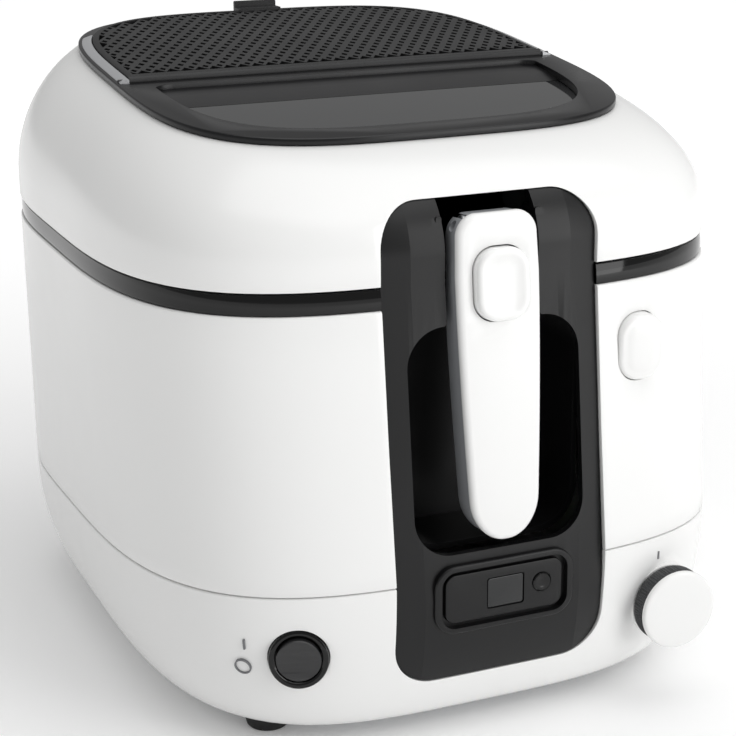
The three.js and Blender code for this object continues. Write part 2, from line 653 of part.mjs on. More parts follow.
// ---------------------------------------------------------------- lid
const lidLowZ = LID_SEAM_Z + 0.4;
const lidBreak = ring(bodyExtent(LID_SEAM_Z), DOME_BREAK_Z);
function lidShell() {
  const shell = lofted([
    ring(bodyExtent(LID_SEAM_Z), lidLowZ),
    ...steps(8).map((t) => domeRing(t)),
    ...steps(4).map((t) => domeRing(1 - t, WALL)),
    ring(bodyExtent(LID_SEAM_Z), lidLowZ, WALL),
  ]);
  const rear = lidBreak.rear;
  const lugs = hingeSides.map((side) => {
    const x0 = side * HINGE_SPACING - KNUCKLE_LENGTH / 2 + GAP;
    const x1 = side * HINGE_SPACING + KNUCKLE_LENGTH / 2 - GAP;
    return joined(knuckle(x0, x1), block(x0, rear - 1, LID_SEAM_Z + 1.5, x1, HINGE.y + 1, HINGE.z + KNUCKLE_RADIUS));
  });
  const knuckleRoom = hingeSides.flatMap((side) =>
    [-1, 1].map((end) => {
      const x = side * HINGE_SPACING + end * KNUCKLE_LENGTH;
      return knuckle(x - KNUCKLE_LENGTH / 2, x + KNUCKLE_LENGTH / 2, KNUCKLE_RADIUS + GAP);
    }),
  );
  return cut(cut(joined(shell, ...lugs), ...knuckleRoom), panelOpening, hingePinHole);
}
add("lid_shell", lidShell(), "white_plastic");

const frameProud = 3;
const frameExtent = (inset) => ({
  side: OPENING.side - inset,
  front: OPENING.front - inset,
  rear: OPENING.rear - inset,
});
const topRing = (inset, height) => ring(frameExtent(inset), DOME_BREAK_Z + DOME_RISE + height, 0, DOME_TILT);
const slab = (inset, low, high, segments = 56) =>
  lofted([topRing(400, low), topRing(inset, low), topRing(inset, high), topRing(400, high)], {
    segments,
    closed: false,
  });
const coverFront = -10; // the filter cover's front edge
const windowRear = -17;
const behind = (y) => block(-150, y, 150, 150, 160, 350);
const ahead = (y) => block(-150, -160, 150, 150, y, 350);
const frameWidth = 14;
const coverInset = 5.5;
const coverLow = frameProud - 2.1;
const coverHigh = frameProud + 2.6;
const coverRound = (coverHigh - coverLow) / 2;
const coverAxis = { y: coverFront + coverRound, z: topZ(coverFront + coverRound) + coverLow + coverRound };
// The pins at the ends of the cover's rounded front edge, or the notches for them.
function coverPivot(radius, reach) {
  const half = frameExtent(coverInset).side + reach;
  return rod([-half, coverAxis.y, coverAxis.z], [half, coverAxis.y, coverAxis.z], radius, 12);
}
// The ramp from the frame's crossbar down to the pane.
function windowSlope() {
  const shape = new THREE.Shape();
  shape.moveTo(windowRear + 1, topZ(windowRear) - 0.1);
  shape.lineTo(windowRear + 1, topZ(windowRear) + frameProud - 0.6);
  shape.lineTo(windowRear - 26, topZ(windowRear - 26) + 0.6);
  shape.lineTo(windowRear - 26, topZ(windowRear - 26) - 0.2);
  const g = new THREE.ExtrudeGeometry(shape, { depth: 2 * OPENING.side, bevelEnabled: false });
  // drawn in Y and Z, and as deep as the frame is wide
  g.applyMatrix4(new THREE.Matrix4().set(0, 0, 1, -OPENING.side, 1, 0, 0, 0, 0, 1, 0, 0, 0, 0, 0, 1));
  return solid(g);
}
function lidFrame() {
  const plate = joined(slab(-0.6, 0.4, frameProud), slab(WALL / 2 + 3 * GAP, -4, 0.5));
  const windowOpening = slab(frameWidth, -20, 20).intersect(ahead(windowRear));
  const coverSeat = slab(coverInset - GAP, frameProud - 2.4, 20).intersect(behind(coverFront - GAP));
  const filterOpening = slab(frameWidth + 2, -20, 20).intersect(behind(coverFront + 12));
  const paneSeat = slab(frameWidth - 4, -20, -0.4).intersect(ahead(windowRear + 3));
  const opened = cut(plate, windowOpening, coverSeat, filterOpening, paneSeat, coverPivot(1.3, 4.1));
  return joined(opened, windowSlope().intersect(slab(frameWidth - 1, -20, 20)));
}
add("lid_frame", lidFrame(), "black_plastic");
add(
  "window_pane",
  slab(frameWidth - 4 + GAP, -3, -0.5).intersect(ahead(windowRear + 3 - GAP)),
  "smoked_glass",
);

// Filter cover, hinged along its front edge, with a pull tab at the rear.
function filterCover() {
  const body = slab(coverInset, coverLow, coverHigh).intersect(behind(coverAxis.y));
  const edge = rod([-200, coverAxis.y, coverAxis.z], [200, coverAxis.y, coverAxis.z], coverRound, 16).intersect(
    slab(coverInset, -20, 20),
  );
  const trunnions = coverPivot(1, 3.6);
  const plate = joined(body, edge, trunnions);
  const rear = OPENING.rear - coverInset;
  const z = topZ(rear) + frameProud + 3.4;
  const tab = joined(
    block(-14, rear - 9, z - 3.2, 14, rear + 1, z - 0.5),
    block(-14, rear - 2, z - 2.4, 14, rear + 1, z + 2.4),
  );
  return joined(plate, tab);
}
add("filter_cover", filterCover(), "black_plastic");
add(
  "steam_filter",
  slab(frameWidth + 2 + GAP, -1.6, frameProud - 2.8).intersect(behind(coverFront + 12 + GAP)),
  "steel",
);

// The liner: a collar that leads steam from the bowl to the filter, with room for the basket's bracket.
const bracketRoom = block(-26, -BODY_FRONT - 10, 150, 26, -BASKET.front + 1, 240);
const panelRoom = block(
  -PANEL_HALF_WIDTH - 2,
  -BODY_FRONT - 10,
  150,
  PANEL_HALF_WIDTH + 2,
  -BODY_FRONT + 18,
  PANEL_HIGH_Z + 8,
);
const LINER = { side: 119, front: 126, rear: 123 };
function lidLiner() {
  const top = topRing(14, -7.2);
  const collar = lofted(
    [
      ring(LINER, LID_SEAM_Z + 4, -12),
      ring(LINER, LID_SEAM_Z + 4, 0),
      { ...top },
      { ...top, side: top.side - 1.6, front: top.front - 1.6, rear: top.rear - 1.6 },
      ring(LINER, LID_SEAM_Z + 2.6, 1.6),
      ring(LINER, LID_SEAM_Z + 2.6, -12),
    ],
    { segments: 48 },
  );
  return cut(collar, bracketRoom, panelRoom, catchRoom());
}
function catchRoom() {
  return block(RELEASE.x - 12, -BODY_FRONT - 10, 150, RELEASE.x + 12, strapY + 7, PANEL_HIGH_Z + 8);
}
add("lid_liner", lidLiner(), "aluminium");
add(
  "lid_seal",
  cut(
    lofted(
      [
        ring(LINER, bowlRimZ + BOWL_WALL + 0.4, 4),
        ring(LINER, LID_SEAM_Z + 2.2, 1),
        ring(LINER, LID_SEAM_Z + 2.2, 7),
        ring(LINER, bowlRimZ + BOWL_WALL + 0.4, 6.5),
      ],
      { segments: 48 },
    ),
    bracketRoom,
  ),
  "silicone",
);
function lidCatch() {
  const [x0, x1] = [RELEASE.x - strapHalfWidth, RELEASE.x + strapHalfWidth];
  const strap = block(x0, strapY, hookTopZ - 3, x1, strapY + 2.4, DOME_BREAK_Z + DOME_RISE);
  const hook = block(x0, strapY + 1, hookTopZ - 3, x1, strapY + 4.4, hookTopZ);
  return joined(strap, hook).intersect(domeInside());
}
// The space under the lid's shell.
function domeInside() {
  return lofted(
    [
      ring(bodyExtent(LID_SEAM_Z), 150, 400),
      ring(bodyExtent(LID_SEAM_Z), 150, WALL + 0.4),
      ring(bodyExtent(LID_SEAM_Z), DOME_BREAK_Z, WALL + 0.4),
      ...steps(4).map((t) => domeRing(t, WALL + 0.4)),
      topRing(400, -WALL),
    ],
    { closed: false },
  );
}
add("lid_catch", lidCatch(), "grey_plastic");

// ---------------------------------------------------------------- basket and its bracket
add(
  "basket",
  lofted(
    [
      ring(BASKET, BASKET_LOW_Z, 400),
      ring(BASKET, BASKET_LOW_Z, 12),
      ring(BASKET, BASKET_LOW_Z + 10, 4),
      ring(BASKET, BASKET_HIGH_Z - 3, BASKET_WALL),
      ring(BASKET, BASKET_HIGH_Z - 3, 0),
      ring(BASKET, BASKET_HIGH_Z, 0),
      ring(BASKET, BASKET_HIGH_Z, 2 * BASKET_WALL),
      ring(BASKET, BASKET_LOW_Z + 10, 4 + BASKET_WALL),
      ring(BASKET, BASKET_LOW_Z + BASKET_WALL, 12 + BASKET_WALL),
      ring(BASKET, BASKET_LOW_Z + BASKET_WALL, 400),
    ],
    { segments: 48, closed: false },
  ),
  "steel",
);
const barLowZ = bowlRimZ + BOWL_WALL + 0.3; // the bracket hangs on the bowl's rim
const bracketBackY = -BASKET.front - 0.6;
function basketBracket() {
  const sides = [-1, 1].map((side) => {
    const [x0, x1] = side < 0 ? [-barHalfWidth, -9.5] : [9.5, barHalfWidth];
    return joined(
      block(x0, PIVOT.y - 3, barLowZ, x1, PIVOT.y + 3, PIVOT.z),
      rod([x0, PIVOT.y, PIVOT.z], [x1, PIVOT.y, PIVOT.z], 4, 20),
      block(x0, PIVOT.y - 3, barLowZ, x1, bracketBackY, barLowZ + 3),
    );
  });
  const plate = block(-barHalfWidth, bracketBackY - 2.4, BASKET_HIGH_Z - 26, barHalfWidth, bracketBackY, barLowZ + 3);
  const pinHole = rod([-20, PIVOT.y, PIVOT.z], [20, PIVOT.y, PIVOT.z], PIN_RADIUS + 0.05, 16);
  return cut(joined(...sides, plate), pinHole);
}
add("basket_bracket", basketBracket(), "steel");
add("handle_pin", rod([-13, PIVOT.y, PIVOT.z], [13, PIVOT.y, PIVOT.z], PIN_RADIUS, 16), "steel");

// ---------------------------------------------------------------- handle
// Turns a piece made upright about the handle's pin by the handle's lean.
function leaned(made) {
  return made
    .translate([0, -PIVOT.y, -PIVOT.z])
    .rotate([-HANDLE_LEAN, 0, 0])
    .translate([0, PIVOT.y, PIVOT.z]);
}
const handlePlace = { z: (HANDLE_LOW_Z + HANDLE_HIGH_Z) / 2 };
// The grip narrows downwards. Its ends are rounded, the lower one almost to a half circle.
function handleShape(inset) {
  const half = (HANDLE_HIGH_Z - HANDLE_LOW_Z) / 2 - inset;
  const [wide, narrow] = [HANDLE_WIDTH / 2 - inset, HANDLE_LOW_WIDTH / 2 - inset];
  const [top, low] = [11 - inset, 13 - inset];
  const shape = new THREE.Shape();
  shape.moveTo(-narrow + low, -half);
  shape.lineTo(narrow - low, -half);
  shape.absarc(narrow - low, -half + low, low, -Math.PI / 2, 0);
  shape.lineTo(wide, half - top);
  shape.absarc(wide - top, half - top, top, 0, Math.PI / 2);
  shape.lineTo(-wide + top, half);
  shape.absarc(-wide + top, half - top, top, Math.PI / 2, Math.PI);
  shape.lineTo(-narrow, -half + low);
  shape.absarc(-narrow + low, -half + low, low, Math.PI, 1.5 * Math.PI);
  return shape;
}
const buttonPlace = { z: 194.5 };
const handleButtonShape = (grow) => roundedRectangle(23 + 2 * grow, 29 + 2 * grow, 9 + grow);
const coverFaceY = PIVOT.y - COVER_FRONT;
const coverBackY = PIVOT.y - COVER_BACK;
function handleCover() {
  const shell = prism(handleShape(0), coverFaceY, coverBackY, { ...handlePlace, bevel: 1.8 });
  return leaned(cut(shell, prism(handleButtonShape(GAP), coverFaceY - 9, coverBackY + 9, buttonPlace)));
}
function handleCore() {
  const block1 = prism(handleShape(1.2), coverBackY + 0.3, PIVOT.y + CORE_BACK, { ...handlePlace, bevel: 2.5 });
  const thin = block(-30, PIVOT.y + HUB_RADIUS, PIVOT.z - NECK_LENGTH, 30, PIVOT.y + 30, PIVOT.z + 30);
  const slots = [-1, 1].map((side) => {
    const [x0, x1] = side < 0 ? [-barHalfWidth - 0.8, -8.9] : [8.9, barHalfWidth + 0.8];
    return block(x0, PIVOT.y - 4.6, PIVOT.z - 30, x1, PIVOT.y + 30, PIVOT.z + 30);
  });
  const buttonWell = prism(handleButtonShape(GAP), coverBackY - 5, coverBackY + 0.9, buttonPlace);
  const endRadius = HANDLE_HIGH_Z - PIVOT.z;
  const end = cut(
    block(-30, PIVOT.y, PIVOT.z, 30, PIVOT.y + 30, PIVOT.z + 30),
    rod([-30, PIVOT.y, PIVOT.z], [30, PIVOT.y, PIVOT.z], endRadius, 32),
  );
  const grip = leaned(cut(block1, thin, end, ...slots, buttonWell));
  const pinHole = rod([-20, PIVOT.y, PIVOT.z], [20, PIVOT.y, PIVOT.z], PIN_RADIUS + 0.05, 16);
  return cut(joined(grip, hub()), pinHole);
}
function hub() {
  return rod([-8.8, PIVOT.y, PIVOT.z], [8.8, PIVOT.y, PIVOT.z], HUB_RADIUS, 24);
}
add("handle_cover", handleCover(), "white_plastic");
add("handle_core", handleCore(), "grey_plastic");
add(
  "handle_button",
  leaned(prism(handleButtonShape(0), coverFaceY - 2.2, coverBackY - 1.4, { ...buttonPlace, bevel: 1.2 })),
  "white_plastic",
);

// The group's frame has its origin under the middle of the whole object.
const rearmost = HINGE.y + KNUCKLE_RADIUS;
fryer.position.y = (-knobFrontY - rearmost) / 2;

export default fryer;
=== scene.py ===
# %% [markdown]
# # A countertop deep fryer
# The fryer is a white moulded body on four feet, with a domed lid, a black front panel, and a handle that folds out.
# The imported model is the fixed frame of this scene. It gives each piece its place, and what is made here stands on it.

import json
import math

import bmesh
import bpy
from mathutils import Matrix, Vector


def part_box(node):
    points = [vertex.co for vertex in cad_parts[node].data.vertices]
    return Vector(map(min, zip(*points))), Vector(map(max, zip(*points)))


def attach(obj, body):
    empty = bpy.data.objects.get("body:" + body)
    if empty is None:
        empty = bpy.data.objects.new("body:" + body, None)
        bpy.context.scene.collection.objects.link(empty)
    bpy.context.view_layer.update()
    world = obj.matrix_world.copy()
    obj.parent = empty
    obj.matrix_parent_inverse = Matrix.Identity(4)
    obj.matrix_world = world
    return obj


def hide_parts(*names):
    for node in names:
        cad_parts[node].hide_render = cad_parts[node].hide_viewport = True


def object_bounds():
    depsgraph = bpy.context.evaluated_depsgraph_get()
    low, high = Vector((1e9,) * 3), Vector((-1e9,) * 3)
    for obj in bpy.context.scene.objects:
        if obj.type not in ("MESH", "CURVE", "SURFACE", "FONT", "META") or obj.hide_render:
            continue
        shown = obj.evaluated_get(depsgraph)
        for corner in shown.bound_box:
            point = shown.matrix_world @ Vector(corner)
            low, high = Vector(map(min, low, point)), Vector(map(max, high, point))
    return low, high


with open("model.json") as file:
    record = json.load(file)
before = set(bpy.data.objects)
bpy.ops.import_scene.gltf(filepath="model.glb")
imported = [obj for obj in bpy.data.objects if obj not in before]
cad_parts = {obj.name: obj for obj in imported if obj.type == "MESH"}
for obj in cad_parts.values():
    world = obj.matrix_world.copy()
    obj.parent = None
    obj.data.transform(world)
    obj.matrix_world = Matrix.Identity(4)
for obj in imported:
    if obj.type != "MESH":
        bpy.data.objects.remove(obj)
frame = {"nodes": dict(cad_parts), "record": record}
solid_low, solid_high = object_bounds()

# %% [markdown]
# Shapes are drawn in millimetres about the widest line of the plan, as the moulds would be, and shrunk to metres when a
# piece is done. The basket's front face is 103 mm in front of that line, which gives the line's place in the frame.

# %% Where the plan's widest line is
WIDEST_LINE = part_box("basket")[0].y + 0.103
FLOOR_Z = solid_low.z
print("widest line at y =", round(WIDEST_LINE, 5), "floor at z =", round(FLOOR_Z, 5))

# %% [markdown]
# ## Colour and node helpers
# Paint charts and screens give colours in sRGB, while shaders mix light in linear values, so one function turns a hex
# value to linear. Another adds a node with its settings and its links.


# %% Two small helpers for materials
def linear(hex_value):
    channels = [int(hex_value[i : i + 2], 16) / 255 for i in (1, 3, 5)]
    return [c / 12.92 if c <= 0.04045 else ((c + 0.055) / 1.055) ** 2.4 for c in channels] + [1.0]


def put(tree, kind, inputs=None, **settings):
    made = tree.nodes.new("ShaderNode" + kind)
    for name, value in settings.items():
        setattr(made, name, value)
    for name, value in (inputs or {}).items():
        if isinstance(value, bpy.types.NodeSocket):
            tree.links.new(value, made.inputs[name])
        else:
            made.inputs[name].default_value = value
    return made


# %% [markdown]
# ## Materials
# Most of the fryer is plastic. A moulded surface is never quite even: its gloss drifts over a few centimetres, and a
# faint ripple is left by the mould. Both come from noise on Object coordinates, with sizes in millimetres.


# %% A moulded surface
def moulded(name, colour, roughness, drift, ripple_mm, ripple_height_mm, metallic=0.0, **shader):
    material = bpy.data.materials.new(name)
    material.use_nodes = True
    tree = material.node_tree
    surface = tree.nodes["Principled BSDF"]
    place = put(tree, "TexCoord").outputs["Object"]
    slow = put(tree, "TexNoise", {"Vector": place, "Scale": 1 / 0.045, "Detail": 2.0})
    gloss = put(
        tree,
        "MapRange",
        {
            "Value": slow.outputs["Fac"],
            "From Min": 0.3,
            "From Max": 0.7,
            "To Min": roughness - drift,
            "To Max": roughness + drift,
        },
    )
    fine = put(tree, "TexNoise", {"Vector": place, "Scale": 1000 / ripple_mm, "Detail": 3.0})
    bump = put(
        tree, "Bump", {"Height": fine.outputs["Fac"], "Distance": ripple_height_mm / 1000, "Strength": 1.0}
    )
    tree.links.new(gloss.outputs["Result"], surface.inputs["Roughness"])
    tree.links.new(bump.outputs["Normal"], surface.inputs["Normal"])
    surface.inputs["Base Color"].default_value = linear(colour)
    surface.inputs["Metallic"].default_value = metallic
    for key, value in shader.items():
        surface.inputs[key.replace("_", " ")].default_value = value
    material.diffuse_color = linear(colour)
    return material


# White ABS from a polished mould: a clear soft reflection over a bright body colour.
white_abs = moulded("polished_white_ABS", "#eeeeed", 0.24, 0.03, 30, 0.01, IOR=1.5)
# Black polypropylene with a satin face: dark, with wide dim highlights.
satin_black = moulded("satin_black_polypropylene", "#0b0b0c", 0.36, 0.04, 1.2, 0.004, IOR=1.4)
# The same plastic from a polished mould, almost a mirror at a low angle.
polished_black = moulded("polished_black_ABS", "#020202", 0.08, 0.03, 40, 0.01, IOR=1.42)
# The rocker is the same ABS with a fine satin face, so that a thumb doesn't slip.
rocker_black = moulded("satin_black_ABS", "#242425", 0.36, 0.04, 0.9, 0.004, IOR=1.52)
# The lid's frame is satin too: a grey sheen where it is seen at a low angle.
frame_black = moulded("satin_black_lid_plastic", "#08080a", 0.3, 0.04, 1.0, 0.004, IOR=1.4)
# The filter's cover is spark-eroded in the mould, which leaves an even dull grain and a greyer black.
cover_black = moulded("spark_textured_black_plastic", "#19191a", 0.5, 0.04, 0.5, 0.012, IOR=1.45)
# Painted reflection: a pale metallic grey for the strips beside the filter's cover, in place of a softbox's reflection.
painted_reflection_grey = moulded("pale_grey_painted_reflection", "#b4b5b7", 0.3, 0.04, 0.6, 0.003, metallic=0.3)
# A satin mid grey for the handle's core, which holds the handle's steel parts; its sides show beside the white cover.
satin_mid_grey = moulded("satin_mid_grey_finish", "#8b8d90", 0.42, 0.04, 0.8, 0.006, IOR=1.53)
# The knob's grip is a dark filled plastic with a dull face, so its fine ribs read as soft stripes.
dark_grip = moulded("soft_dark_grip", "#3b3c3e", 0.5, 0.05, 0.6, 0.01, IOR=1.5)
# Rubber is nearly black and matt, with a slightly uneven skin.
foot_rubber = moulded("moulded_black_rubber", "#1b1b1b", 0.8, 0.05, 0.7, 0.03, IOR=1.52)
# Silicone is a dull dark grey, a little smoother than the rubber.
seal_silicone = moulded("dark_silicone", "#454546", 0.55, 0.05, 1.0, 0.01, IOR=1.41)
# Smoked sheet, opaque here: its dark colour is the smoke plus painted shade for the dark inside; it mirrors the room.
smoked_sheet_and_inner_shade = moulded("smoked_sheet_with_painted_inner_shade", "#1c1d1e", 0.05, 0.01, 60, 0.005, IOR=1.5)
# Pressed stainless steel: a bright metal with a slightly blurred reflection.
pressed_steel = moulded("pressed_stainless_steel", "#c4c6c8", 0.3, 0.05, 1.0, 0.004, metallic=1.0)
# Pressed aluminium is a softer, greyer metal than the steel.
pressed_aluminium = moulded("pressed_aluminium", "#b9babc", 0.38, 0.05, 2.0, 0.006, metallic=1.0)
# The bowl's non-stick coating is a dark grey with a low sheen and a fine sprayed grain.
bowl_coating = moulded("non_stick_coating", "#2b2b2d", 0.4, 0.05, 0.5, 0.01, IOR=1.45)
# Fired ceramic insulates the thermostat: matt, pale and a little rough.
fired_ceramic = moulded("fired_grey_ceramic", "#a7a49d", 0.65, 0.05, 0.8, 0.02, IOR=1.54)
# The filter is pressed from aluminium mesh: bright, with a coarse even dimple that scatters light.
filter_mesh = moulded("pressed_aluminium_mesh", "#b9babc", 0.45, 0.05, 1.6, 0.25, metallic=1.0)
# Drawn stainless wire is brighter than pressed sheet, with fine draw lines that blur its highlights.
steel_wire = moulded("drawn_stainless_wire", "#cfd1d3", 0.25, 0.05, 0.4, 0.004, metallic=1.0)
# Pad-printed ink: flat grey with no gloss.
printed_grey = moulded("pad_printed_grey_ink", "#77787a", 0.7, 0.05, 0.3, 0.002, IOR=1.48)
print("plain materials:", len(bpy.data.materials))

# %% [markdown]
# Every node of the frame gets one of these, by what it is made of. Most nodes are then replaced by a finer piece.

# %% Finishes of the frame's own nodes
NODE_FINISH = {
    "white_plastic": white_abs,
    "black_plastic": satin_black,
    "textured_black": satin_black,
    "gloss_black": polished_black,
    "grey_plastic": satin_mid_grey,
    "knob_grip": dark_grip,
    "foot_rubber": foot_rubber,
    "seal_silicone": seal_silicone,
    "smoked_glass": smoked_sheet_and_inner_shade,
    "grey_ceramic": fired_ceramic,
    "steel": pressed_steel,
    "aluminium": pressed_aluminium,
    "bowl_coating": bowl_coating,
}
for part in frame["record"]["subparts"]:
    mesh = frame["nodes"][part["node"]].data
    mesh.materials.clear()
    mesh.materials.append(NODE_FINISH[part["material_slot"]])

# %% [markdown]
# ## The studio
# A fryer like this is shown on a white sweep, under soft boxes that leave long gentle gradients in the plastic. The
# camera stands to the left, a little above the lid, with a long lens.

# %% Floor, light and camera
bpy.ops.object.select_all(action="DESELECT")
bpy.ops.mesh.primitive_plane_add(size=40, location=(0, 0, FLOOR_Z))
floor = bpy.context.object
floor.name = "floor"
floor_finish = bpy.data.materials.new("white_paper_sweep")
floor_finish.use_nodes = True
paper = floor_finish.node_tree.nodes["Principled BSDF"]
paper.inputs["Base Color"].default_value = linear("#fbfbfb")
paper.inputs["Roughness"].default_value = 0.9
# The sweep glows by painted light that grows away from the fryer, fading it to clean white, with painted shade near it.
paper_place = put(floor_finish.node_tree, "TexCoord").outputs["Object"]
distance = put(floor_finish.node_tree, "VectorMath", {0: paper_place}, operation="LENGTH").outputs["Value"]
painted_glow_by_distance = {"Value": distance, "From Min": 0.25, "From Max": 1.3, "To Min": 0.1, "To Max": 0.6}
painted_glow_node = put(floor_finish.node_tree, "MapRange", painted_glow_by_distance)
floor_finish.node_tree.links.new(painted_glow_node.outputs["Result"], paper.inputs["Emission Strength"])
paper.inputs["Emission Color"].default_value = linear("#ffffff")
floor.data.materials.append(floor_finish)

scene = bpy.context.scene
scene.view_settings.view_transform = "Standard"
world = bpy.data.worlds.new("studio")
scene.world = world
world.use_nodes = True
world.node_tree.nodes["Background"].inputs["Color"].default_value = linear("#ffffff")
world.node_tree.nodes["Background"].inputs["Strength"].default_value = 0.38


def softbox(name, place, aim, width, height, power):
    data = bpy.data.lights.new(name, "AREA")
    data.shape, data.size, data.size_y, data.energy = "RECTANGLE", width, height, power
    lamp = bpy.data.objects.new(name, data)
    scene.collection.objects.link(lamp)
    lamp.location = place
    lamp.rotation_euler = (Vector(aim) - Vector(place)).to_track_quat("-Z", "Y").to_euler()
    return lamp


softbox("box_over", (0.2, -0.2, 1.6), (0, 0, 0.1), 1.6, 1.6, 13)
softbox("box_right", (0.9, -1.5, 0.7), (0, 0, 0.15), 0.9, 1.6, 13)

camera_data = bpy.data.cameras.new("camera")
camera_data.sensor_width = 36
camera_data.lens = 89.46
camera = bpy.data.objects.new("camera", camera_data)
scene.collection.objects.link(camera)
scene.camera = camera
right = Vector((0.91935, -0.39336, -0.00839))
ahead = Vector((0.37325, 0.87870, -0.29760))
up = right.cross(ahead)
turn = Matrix((right, up, -ahead)).transposed()
camera.location = (-0.31754, WIDEST_LINE - 0.78147, 0.37637)
camera.rotation_euler = turn.to_euler()
print("camera at", [round(c, 4) for c in camera.location])

# %% [markdown]
# ## Working in millimetres
# Each piece is modelled in millimetres about the widest line. When it is done, its size and place go into its mesh, its
# edges are smoothed by angle, it is told which body it rides on, and the nodes of the frame that it stands for are
# hidden.


# %% Finishing a piece
def only(piece):
    bpy.ops.object.select_all(action="DESELECT")
    piece.select_set(True)
    bpy.context.view_layer.objects.active = piece


def finish_piece(piece, name, body, slot, material, *nodes, angle=35):
    only(piece)
    piece.name = name
    piece.scale = (0.001, 0.001, 0.001)
    piece.location = (0, WIDEST_LINE, 0)
    bpy.ops.object.transform_apply(location=True, rotation=True, scale=True)
    bpy.ops.object.shade_smooth_by_angle(angle=math.radians(angle))
    piece.data.materials.clear()
    piece.data.materials.append(material)
    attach(piece, body)
    if nodes:
        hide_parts(*nodes)
    print(name, len(piece.data.polygons), "faces")
    return piece


# %% [markdown]
# ## Welding a piece shut
# A Boolean cut can leave two points on top of each other, or a face that looks inwards. Merging by distance welds the
# points, and recalculating the normals turns every face outwards.


# %% Weld helper
def weld(piece, gap):
    only(piece)
    bpy.ops.object.mode_set(mode="EDIT")
    bpy.ops.mesh.select_all(action="SELECT")
    bpy.ops.mesh.remove_doubles(threshold=gap)
    bpy.ops.mesh.normals_make_consistent(inside=False)
    bpy.ops.object.mode_set(mode="OBJECT")


# %% [markdown]
# ## The plan and the loft
# Seen from above, the body is a squared circle: a superellipse, with a longer front half. A loft starts as a circle
# that is pressed to that outline. Then its edge loop is extruded from ring to ring, and each new ring takes its own
# width, reach and height. It is how a lathe works, but with a squared section.

# %% A ring of the plan
PLAN_POWER = 3.65


class Ring:
    def __init__(self, side, front, rear, z, tilt=0.0):
        self.side, self.front, self.rear, self.z, self.tilt = side, front, rear, z, tilt

    def inset(self, by, z=None, tilt=None):
        height = self.z if z is None else z
        return Ring(self.side - by, self.front - by, self.rear - by, height, self.tilt if tilt is None else tilt)


def place_ring(vertices, old, new):
    for v in vertices:
        across = v.co.x / old.side
        along = v.co.y / (old.front if v.co.y < 0 else old.rear)
        y = along * (new.front if along < 0 else new.rear)
        v.co = (across * new.side, y, new.z + new.tilt * y)


def loft(rings, segments=160, closed=True):
    bpy.ops.object.select_all(action="DESELECT")
    bpy.ops.mesh.primitive_circle_add(vertices=segments, radius=1)
    piece = bpy.context.object
    for v in piece.data.vertices:
        reach = (abs(v.co.x) ** PLAN_POWER + abs(v.co.y) ** PLAN_POWER) ** (-1 / PLAN_POWER)
        v.co = (v.co.x * reach, v.co.y * reach, 0)
    bpy.ops.object.mode_set(mode="EDIT")
    bpy.ops.mesh.select_all(action="SELECT")
    current = Ring(1, 1, 1, 0)
    place_ring(bmesh.from_edit_mesh(piece.data).verts, current, rings[0])
    if not closed:
        bpy.ops.mesh.edge_face_add()
    for last, new in zip(rings, rings[1:] + rings[:1] if closed else rings[1:]):
        bpy.ops.mesh.extrude_edges_move()
        edit = bmesh.from_edit_mesh(piece.data)
        place_ring([v for v in edit.verts if v.select], last, new)
        bmesh.update_edit_mesh(piece.data)
    if not closed:
        bpy.ops.mesh.edge_face_add()
    bpy.ops.mesh.select_all(action="SELECT")
    bpy.ops.mesh.remove_doubles(threshold=0.001)
    bpy.ops.mesh.normals_make_consistent(inside=False)
    bpy.ops.object.mode_set(mode="OBJECT")
    return piece


# %% [markdown]
# ## Prisms, turned pieces and cuts
# Buttons, openings and the handle start as a block whose corners are bevelled. Knobs, feet and pins start as a circle
# that is extruded and resized along its axis. Openings are cut with Boolean modifiers, which are applied at once.


# %% Selecting by place
def select_where(piece, test, kind="EDGE"):
    only(piece)
    bpy.ops.object.mode_set(mode="EDIT")
    bpy.ops.mesh.select_mode(type=kind)
    bpy.ops.mesh.select_all(action="DESELECT")
    edit = bmesh.from_edit_mesh(piece.data)
    for item in edit.edges if kind == "EDGE" else edit.faces:
        points = [v.co for v in item.verts]
        if test(points, item):
            item.select = True
    bmesh.update_edit_mesh(piece.data)


def rounded_block(x, z, width, height, y_front, y_back, corner, edge=0.0, low_corner=None, segments=10, steps=3):
    bpy.ops.object.select_all(action="DESELECT")
    middle = (x, (y_front + y_back) / 2, z)
    bpy.ops.mesh.primitive_cube_add(size=1, location=middle, scale=(width, y_back - y_front, height))
    piece = bpy.context.object
    bpy.ops.object.transform_apply(location=True, rotation=True, scale=True)
    for radius, upper in ((corner, True), (corner if low_corner is None else low_corner, False)):
        select_where(piece, lambda p, e: abs(p[0].y - p[1].y) > 0.5 * (y_back - y_front) and (p[0].z > z) == upper)
        bpy.ops.mesh.bevel(offset=radius, offset_type="OFFSET", segments=segments)
        bpy.ops.object.mode_set(mode="OBJECT")
    if edge:
        select_where(piece, lambda p, e: all(abs(q.y - y_front) < 1e-3 for q in p))
        bpy.ops.mesh.bevel(offset=edge, segments=steps)
        bpy.ops.object.mode_set(mode="OBJECT")
    return piece


